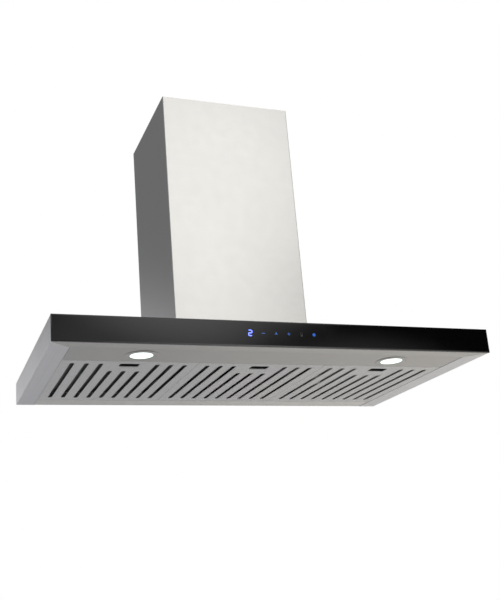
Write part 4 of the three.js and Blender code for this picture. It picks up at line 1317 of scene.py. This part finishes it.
class HOOD_OT_latches(bpy.types.Operator):
    """Moulds the filter latches and winds their springs"""

    bl_idname = "hood.latches"
    bl_label = "Filter Latches"

    def execute(self, context):
        origin = middle("filter_face_centre")
        cup = from_node("latch_cup_centre", "cup")
        deburr(cup, radius=0.35 * MM)
        bar = self.bar()
        spring = self.spring()
        for side in FILTERS:
            move = middle(f"filter_face_{side}") - origin
            body = f"filter_{side}"
            black = finish("plastic_black")
            piece = copied(cup, f"latch_pocket_{side}", move)
            fit(piece, body, "black_plastic", [f"latch_cup_{side}"], black)
            piece = copied(bar, f"latch_bar_{side}", move)
            fit(piece, f"latch_{side}", "black_plastic", [f"filter_latch_{side}"], black)
            piece = copied(spring, f"latch_coil_{side}", move)
            fit(piece, body, "bright_steel", [f"latch_spring_{side}"], finish("steel_bright"))
            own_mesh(piece)
        for spare in (cup, bar, spring):
            bpy.data.objects.remove(spare)
        return {"FINISHED"}

    def bar(self):
        """The sliding bar, with three ribs where a finger pulls it."""
        bar = from_node("filter_latch_centre", "bar")
        low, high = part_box("filter_latch_centre")
        half = sizes().latch_half - 2 * MM
        proud = 0.5 * MM
        thick = 0.9 * MM
        for level in range(3):
            z = low.z + (1.2 + 2.2 * level) * MM
            rib = block("rib", (-half, high.y - proud, z), (half, high.y + proud, z + thick))
            combine(bar, rib, "UNION")
        deburr(bar, radius=0.2 * MM)
        return bar

    def spring(self):
        """A coil wound along Y by turning a ring of wire about its axis as it moves on."""
        size = sizes()
        low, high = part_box("latch_spring_centre")
        spot = middle("latch_spring_centre")
        wire = size.spring_wire
        coil = (high.z - low.z) / 2 - wire
        clear()
        bpy.ops.mesh.primitive_circle_add(vertices=8, radius=wire, location=(coil, wire, 0))
        spring = settle("spring")
        modify(
            spring, "SCREW", axis="Y", steps=14, render_steps=14, iterations=size.spring_turns,
            screw_offset=(high.y - low.y - 2 * wire) / size.spring_turns, angle=2 * pi,
        )
        spring.data.transform(Matrix.Translation((spot.x, low.y, spot.z)))
        with shaping(spring):
            pick(spring, "EDGE", lambda edge: edge.is_boundary)
            bpy.ops.mesh.edge_face_add()
            merge(0.001 * MM)
        smooth(spring, 60)
        return spring


# ---- Blower, outlet and electrical parts ----


class HOOD_OT_blower(bpy.types.Operator):
    """Dresses the blower box and all that it holds"""

    bl_idname = "hood.blower"
    bl_label = "Blower"

    def execute(self, context):
        zinc = finish("zinc")
        for node, name, edge in (
            ("motor_housing", "blower_box", 0.4), ("volute_left", "scroll_left", 0.3),
            ("volute_right", "scroll_right", 0.3), ("motor_bracket", "motor_frame", 0.4),
        ):
            piece = from_node(node, name)
            deburr(piece, radius=edge * MM)
            fit(piece, "hood", "galvanised", [node], zinc)
        for side in SIDES:
            self.inlet(side)
        self.motor()
        for node, name, slot, coat, edge in (
            ("impeller", "fan_wheel", "black_plastic", "plastic_black", 0.2),
            ("motor_shaft", "fan_shaft", "bright_steel", "steel_bright", 0.4),
            ("impeller_nut", "fan_nut", "bright_steel", "steel_bright", 0.4),
        ):
            piece = from_node(node, name)
            deburr(piece, radius=edge * MM)
            fit(piece, "fan", slot, [node], finish(coat))
        self.capacitor()
        for index in range(4):
            self.screw(index + 1)
        return {"FINISHED"}

    def inlet(self, side):
        """A rolled bell mouth, turned about the fan's axle."""
        node = f"inlet_ring_{side}"
        low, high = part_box(node)
        spot = middle(node)
        sign = -1 if side == "left" else 1
        seat = low.x if sign > 0 else high.x
        outer = (high.z - low.z) / 2
        roll = high.x - low.x
        wall = 1.2 * MM
        steps = 8
        angles = [radians(90) * k / steps for k in range(steps + 1)]
        skin = [(outer - roll * cos(a), sign * roll * sin(a)) for a in angles]
        lining = [
            (outer - (roll - wall) * cos(a), sign * (roll - wall) * sin(a)) for a in reversed(angles)
        ]
        ring = turned(f"bell_mouth_{side}", skin + lining, (seat, spot.y, spot.z), X_AXIS)
        smooth(ring)
        fit(ring, "hood", "galvanised", [node], finish("zinc"))

    def motor(self):
        """A cast motor with stacked ribs between its two end shields."""
        motor = from_node("motor_body", "motor")
        low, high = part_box("motor_body")
        radius = (high.z - low.z) / 2
        spot = middle("motor_body")
        shield = 14 * MM
        start = low.x + shield
        count = 9
        pitch = (high.x - shield - start) / count
        half = 0.3 * pitch
        bottom = radius - 1.2 * MM
        outside = radius + 1 * MM
        for index in range(count):
            x = start + (index + 0.5) * pitch
            groove = turned("groove", [
                (bottom, -half), (outside, -half), (outside, half), (bottom, half),
            ], (x, spot.y, spot.z), X_AXIS, 32)
            combine(motor, groove, "DIFFERENCE")
        deburr(motor, radius=0.3 * MM, steps=1)
        fit(motor, "hood", "cast_aluminium", ["motor_body"], finish("aluminium_cast"))

    def capacitor(self):
        """A can with a rolled seam near its top and a raised terminal cap."""
        low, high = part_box("capacitor")
        spot = middle("capacitor")
        radius = (high.x - low.x) / 2
        top = high.z - 3 * MM
        cap = radius / 2
        corner = 1 * MM
        roll = 0.8 * MM
        chamfer = 0.5 * MM
        profile = [
            (0, low.z), (radius - corner, low.z), (radius, low.z + corner),
            (radius, top - 5 * MM), (radius - roll, top - 4 * MM), (radius, top - 3 * MM),
            (radius, top - roll), (radius - roll, top), (cap, top),
            (cap, high.z - chamfer), (cap - chamfer, high.z), (0, high.z),
        ]
        can = turned("run_capacitor", profile, (spot.x, spot.y, 0), segments=48)
        smooth(can)
        fit(can, "hood", "grey_plastic", ["capacitor"], finish("plastic_grey"))

    def screw(self, index):
        """A hexagon-headed screw with a washer face."""
        node = f"housing_screw_{index}"
        low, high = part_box(node)
        spot = middle(node)
        radius = (high.x - low.x) / 2
        foot = high.z - 2.5 * MM
        washer = foot + 0.7 * MM
        border = 0.6 * MM
        thread = 2 * MM
        tip = 1.2 * MM
        flange = radius * 1.05
        head = rod("head", radius, (spot.x, spot.y, foot + border), (spot.x, spot.y, high.z), 6)
        with shaping(head):
            pick_faces(head, lambda centre, normal: normal.z > 0.9)
            bpy.ops.mesh.inset(thickness=border, depth=0)
        shank = turned("shank", [
            (0, low.z), (tip, low.z), (thread, low.z + 1 * MM), (thread, foot),
            (flange, foot), (flange, washer), (0, washer),
        ], (spot.x, spot.y, 0), segments=24)
        combine(shank, head, "UNION")
        shank.name = f"box_screw_{index}"
        deburr(shank, radius=0.15 * MM)
        fit(shank, "hood", "bright_steel", [node], finish("steel_bright"))


class HOOD_OT_outlet(bpy.types.Operator):
    """Makes the duct collar and its two damper flaps"""

    bl_idname = "hood.outlet"
    bl_label = "Duct Outlet"

    def execute(self, context):
        for node, name, body, slot, coat in (
            ("duct_collar", "outlet_collar", "hood", "galvanised", "zinc"),
            ("damper_spindle", "damper_pin", "hood", "bright_steel", "steel_bright"),
            ("damper_flap_front", "damper_front_flap", "damper_front", "galvanised", "zinc"),
            ("damper_flap_rear", "damper_rear_flap", "damper_rear", "galvanised", "zinc"),
        ):
            piece = from_node(node, name)
            deburr(piece, radius=0.25 * MM)
            fit(piece, body, slot, [node], finish(coat))
        return {"FINISHED"}


class HOOD_OT_electrics(bpy.types.Operator):
    """Makes the control box, its gland, the lamp driver and the touch controls"""

    bl_idname = "hood.electrics"
    bl_label = "Electrical Parts"

    def execute(self, context):
        for node, name, slot, coat, edge in (
            ("control_box", "terminal_box", "grey_plastic", "plastic_grey", 0.6),
            ("led_driver", "lamp_driver", "grey_plastic", "plastic_grey", 1.2),
            ("control_housing", "control_frame", "black_plastic", "plastic_black", 0.5),
            ("control_board", "touch_board", "circuit_board", "board_green", 0.2),
            ("display_module", "digit_block", "display", "plastic_black", 0.4),
            ("control_cable", "control_lead", "black_plastic", "plastic_black", 0.1),
        ):
            piece = from_node(node, name)
            deburr(piece, radius=edge * MM)
            fit(piece, "hood", slot, [node], finish(coat))
        for index in range(5):
            piece = from_node(f"touch_pad_{index + 1}", f"touch_sensor_{index + 1}")
            deburr(piece, radius=0.4 * MM)
            fit(piece, "hood", "black_plastic", [f"touch_pad_{index + 1}"], finish("plastic_black"))
        self.lid()
        self.gland()
        return {"FINISHED"}

    def lid(self):
        """The box lid, with a raised field and four screw bosses."""
        low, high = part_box("control_box_lid")
        proud = 0.8 * MM
        inset = 3.5 * MM
        slot_long, slot_wide, slot_deep = 2 * MM, 0.3 * MM, 0.5 * MM
        top = high.z
        lid = block("terminal_box_lid", low, high - Z_AXIS * proud)
        with shaping(lid):
            pick_faces(lid, lambda centre, normal: normal.z > 0.9)
            bpy.ops.mesh.inset(thickness=6 * MM, depth=0)
            bpy.ops.mesh.inset(thickness=1 * MM, depth=proud)
        for x in (low.x + inset, high.x - inset):
            for y in (low.y + inset, high.y - inset):
                boss = rod("boss", 2.4 * MM, (x, y, low.z + 1 * MM), (x, y, top), 24)
                slot = block(
                    "slot", (x - slot_long, y - slot_wide, top - slot_deep),
                    (x + slot_long, y + slot_wide, top + MM),
                )
                combine(boss, slot, "DIFFERENCE")
                combine(lid, boss, "UNION")
        deburr(lid, radius=0.4 * MM)
        fit(lid, "hood", "grey_plastic", ["control_box_lid"], finish("plastic_grey"))

    def gland(self):
        """A round cable gland: a neck through the wall, a collar, a narrower cap, a taper back to the
        neck and a chamfered mouth.
        """
        low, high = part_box("cable_gland")
        spot = middle("cable_gland")
        radius = (high.z - low.z) / 2
        neck = radius - 2 * MM
        cap = radius - 0.8 * MM
        bore = 4 * MM
        wall = low.x + 2.3 * MM
        face = wall + sizes().fit_gap
        long = high.x - wall
        mouth = 1.2 * MM
        profile = [
            (bore, low.x), (neck, low.x), (neck, face), (radius, face),
            (radius, wall + long * 0.45), (cap, wall + long * 0.5), (cap, wall + long * 0.7),
            (neck, high.x - mouth), (neck - mouth, high.x), (bore, high.x),
        ]
        gland = turned("mains_gland", profile, (0, spot.y, spot.z), X_AXIS, 48)
        smooth(gland)
        fit(gland, "hood", "black_plastic", ["cable_gland"], finish("plastic_black"))


# ---- Studio ----


class HOOD_OT_studio(bpy.types.Operator):
    """Lays the floor, lights the room and sets the camera"""

    bl_idname = "hood.studio"
    bl_label = "Studio"

    def execute(self, context):
        self.floor()
        self.world(context.scene)
        self.camera(context.scene)
        context.scene.view_settings.view_transform = "Standard"
        return {"FINISHED"}

    def floor(self):
        clear()
        bpy.ops.mesh.primitive_plane_add(size=14, location=(0, 0, -1.45))
        floor = settle("studio_floor")
        made, tree, shader = surface("studio_floor", Roughness=0.8)
        palette = colours()
        dots = use(tree, fine_speckle, Density=60.0)
        place = add(tree, "ShaderNodeTexCoord")
        parts = tree.nodes.new("ShaderNodeSeparateXYZ")
        tree.links.new(place.outputs["Object"], parts.inputs[0])
        aside = remap(tree, parts.outputs["X"], 0.4, 3.9, 0.0, 1.0)
        beyond = remap(tree, parts.outputs["Y"], 4.3, 6.3, 0.0, 0.30)
        tint = blend(tree, aside, palette.floor, palette.floor_far)
        pale = maths(tree, "ADD", remap(tree, dots["Clouds"], 0.3, 0.7, 0.98, 1.02), beyond)
        squares = maths(tree, "ADD", maths(tree, "MULTIPLY", parts.outputs["X"], parts.outputs["X"]),
                        maths(tree, "MULTIPLY", parts.outputs["Y"], parts.outputs["Y"]))
        # Painted shadow: the floor is darkened in a soft round patch under the hood, to 0.35 of its
        # colour right below it.
        under = remap(tree, squares, 0.3, 3.2, 0.35, 1.0)
        scaled = tree.nodes.new("ShaderNodeVectorMath")
        scaled.operation = "SCALE"
        tree.links.new(tint, scaled.inputs[0])
        tree.links.new(maths(tree, "MULTIPLY", pale, under), scaled.inputs["Scale"])
        tree.links.new(scaled.outputs[0], shader.inputs["Base Color"])
        floor.data.materials.append(made)

    def world(self, scene):
        """A white room for the eye, and soft cards and dark corners for the reflections."""
        world = bpy.data.worlds.new("studio")
        scene.world = world
        world.use_nodes = True
        tree = world.node_tree
        tree.nodes.clear()
        place = tree.nodes.new("ShaderNodeTexCoord")
        room = None
        cards = (
            # azimuth from -Y towards +X, height, half width of the bright part and of its fade, colour
            (20, 27.5, 7.5, 13.5, (1.60, 1.60, 1.59)),
            (14, 12, 5, 11, (0.62, 0.62, 0.62)),
            (19, 6, 4, 10, (1.40, 1.40, 1.38)),
            (27.5, 5, 4, 11.8, (1.35, 1.33, 1.30)),
            (187, 3, 5, 20, (0.82, 0.83, 0.88)),
            (200, 28, 12, 40, (0.17, 0.172, 0.18)),
            (100, 20, 15, 45, (0.50, 0.49, 0.47)),
            (-80, 25, 15, 45, (0.50, 0.51, 0.53)),
            (0, 88, 25, 48, (1.73, 1.73, 1.73)),
        )
        for azimuth, height, full, fade, tint in cards:
            card = self.card(tree, place.outputs["Generated"], azimuth, height, full, fade, tint)
            room = card if room is None else self.plus(tree, room, card)
        room = self.plus(tree, room, (0.02, 0.02, 0.021))
        seen = tree.nodes.new("ShaderNodeBackground")
        seen.inputs["Color"].default_value = (1, 1, 1, 1)
        lit = tree.nodes.new("ShaderNodeBackground")
        tree.links.new(room, lit.inputs["Color"])
        path = tree.nodes.new("ShaderNodeLightPath")
        either = tree.nodes.new("ShaderNodeMixShader")
        tree.links.new(path.outputs["Is Camera Ray"], either.inputs[0])
        tree.links.new(lit.outputs[0], either.inputs[1])
        tree.links.new(seen.outputs[0], either.inputs[2])
        out = tree.nodes.new("ShaderNodeOutputWorld")
        tree.links.new(either.outputs[0], out.inputs["Surface"])

    def plus(self, tree, first, second):
        node = tree.nodes.new("ShaderNodeVectorMath")
        node.operation = "ADD"
        tree.links.new(first, node.inputs[0])
        if isinstance(second, bpy.types.NodeSocket):
            tree.links.new(second, node.inputs[1])
        else:
            node.inputs[1].default_value = second
        return node.outputs[0]

    def card(self, tree, direction, azimuth, height, full, fade, tint):
        """A round soft light far away in one direction."""
        turn, lift = radians(azimuth), radians(height)
        toward = (sin(turn) * cos(lift), -cos(turn) * cos(lift), sin(lift))
        dot = tree.nodes.new("ShaderNodeVectorMath")
        dot.operation = "DOT_PRODUCT"
        tree.links.new(direction, dot.inputs[0])
        dot.inputs[1].default_value = toward
        fall = add(
            tree, "ShaderNodeMapRange", From_Min=cos(radians(fade)), From_Max=cos(radians(full)),
            To_Min=0.0, To_Max=1.0,
        )
        fall.interpolation_type = "SMOOTHSTEP"
        tree.links.new(dot.outputs["Value"], fall.inputs["Value"])
        scale = tree.nodes.new("ShaderNodeVectorMath")
        scale.operation = "SCALE"
        scale.inputs[0].default_value = tint
        tree.links.new(fall.outputs["Result"], scale.inputs["Scale"])
        return scale.outputs[0]

    def camera(self, scene):
        """Looks up at the hood from its front left."""
        place = Vector((-0.693, -2.0265, -0.485))
        azimuth, height, roll = radians(19.674), radians(16.314), radians(-4.042)
        ahead = Vector((sin(azimuth) * cos(height), cos(azimuth) * cos(height), sin(height)))
        right = Vector((cos(azimuth), -sin(azimuth), 0))
        up = right.cross(ahead)
        across = right * cos(roll) + up * sin(roll)
        upright = up * cos(roll) - right * sin(roll)
        turn = Matrix((across, upright, -ahead)).transposed()
        camera = bpy.data.cameras.new("camera")
        camera.lens = 54.6
        camera.shift_x = 0.0595
        camera.shift_y = 0.064
        holder = bpy.data.objects.new("camera", camera)
        holder.matrix_world = Matrix.Translation(place) @ turn.to_4x4()
        scene.collection.objects.link(holder)
        scene.camera = holder


# ---- Add-on ----


STEPS = (
    HOOD_OT_studio, HOOD_OT_canopy, HOOD_OT_glass_front, HOOD_OT_flue, HOOD_OT_underside,
    HOOD_OT_lamps, HOOD_OT_filters, HOOD_OT_latches, HOOD_OT_blower, HOOD_OT_outlet,
    HOOD_OT_electrics,
)


class HOOD_PT_build(bpy.types.Panel):
    """Lists the hood's sizes, colours and pieces"""

    bl_label = "Range Hood"
    bl_space_type = "VIEW_3D"
    bl_region_type = "UI"
    bl_category = "Range Hood"

    def draw(self, context):
        layout = self.layout
        for step in STEPS:
            layout.operator(step.bl_idname)
        for settings in (context.scene.hood_sizes, context.scene.hood_colours):
            column = layout.column(align=True)
            for key in settings.__annotations__:
                column.prop(settings, key)


CLASSES = (HoodSizes, HoodColours, *STEPS, HOOD_PT_build)


def register():
    for each in CLASSES:
        bpy.utils.register_class(each)
    bpy.types.Scene.hood_sizes = PointerProperty(type=HoodSizes)
    bpy.types.Scene.hood_colours = PointerProperty(type=HoodColours)


def unregister():
    del bpy.types.Scene.hood_colours
    del bpy.types.Scene.hood_sizes
    for each in reversed(CLASSES):
        bpy.utils.unregister_class(each)


def main():
    register()
    bpy.ops.hood.studio()
    bpy.ops.hood.canopy()
    bpy.ops.hood.glass_front()
    bpy.ops.hood.flue()
    bpy.ops.hood.underside()
    bpy.ops.hood.lamps()
    bpy.ops.hood.filters()
    bpy.ops.hood.latches()
    bpy.ops.hood.blower()
    bpy.ops.hood.outlet()
    bpy.ops.hood.electrics()


if __name__ == "__main__":
    main()
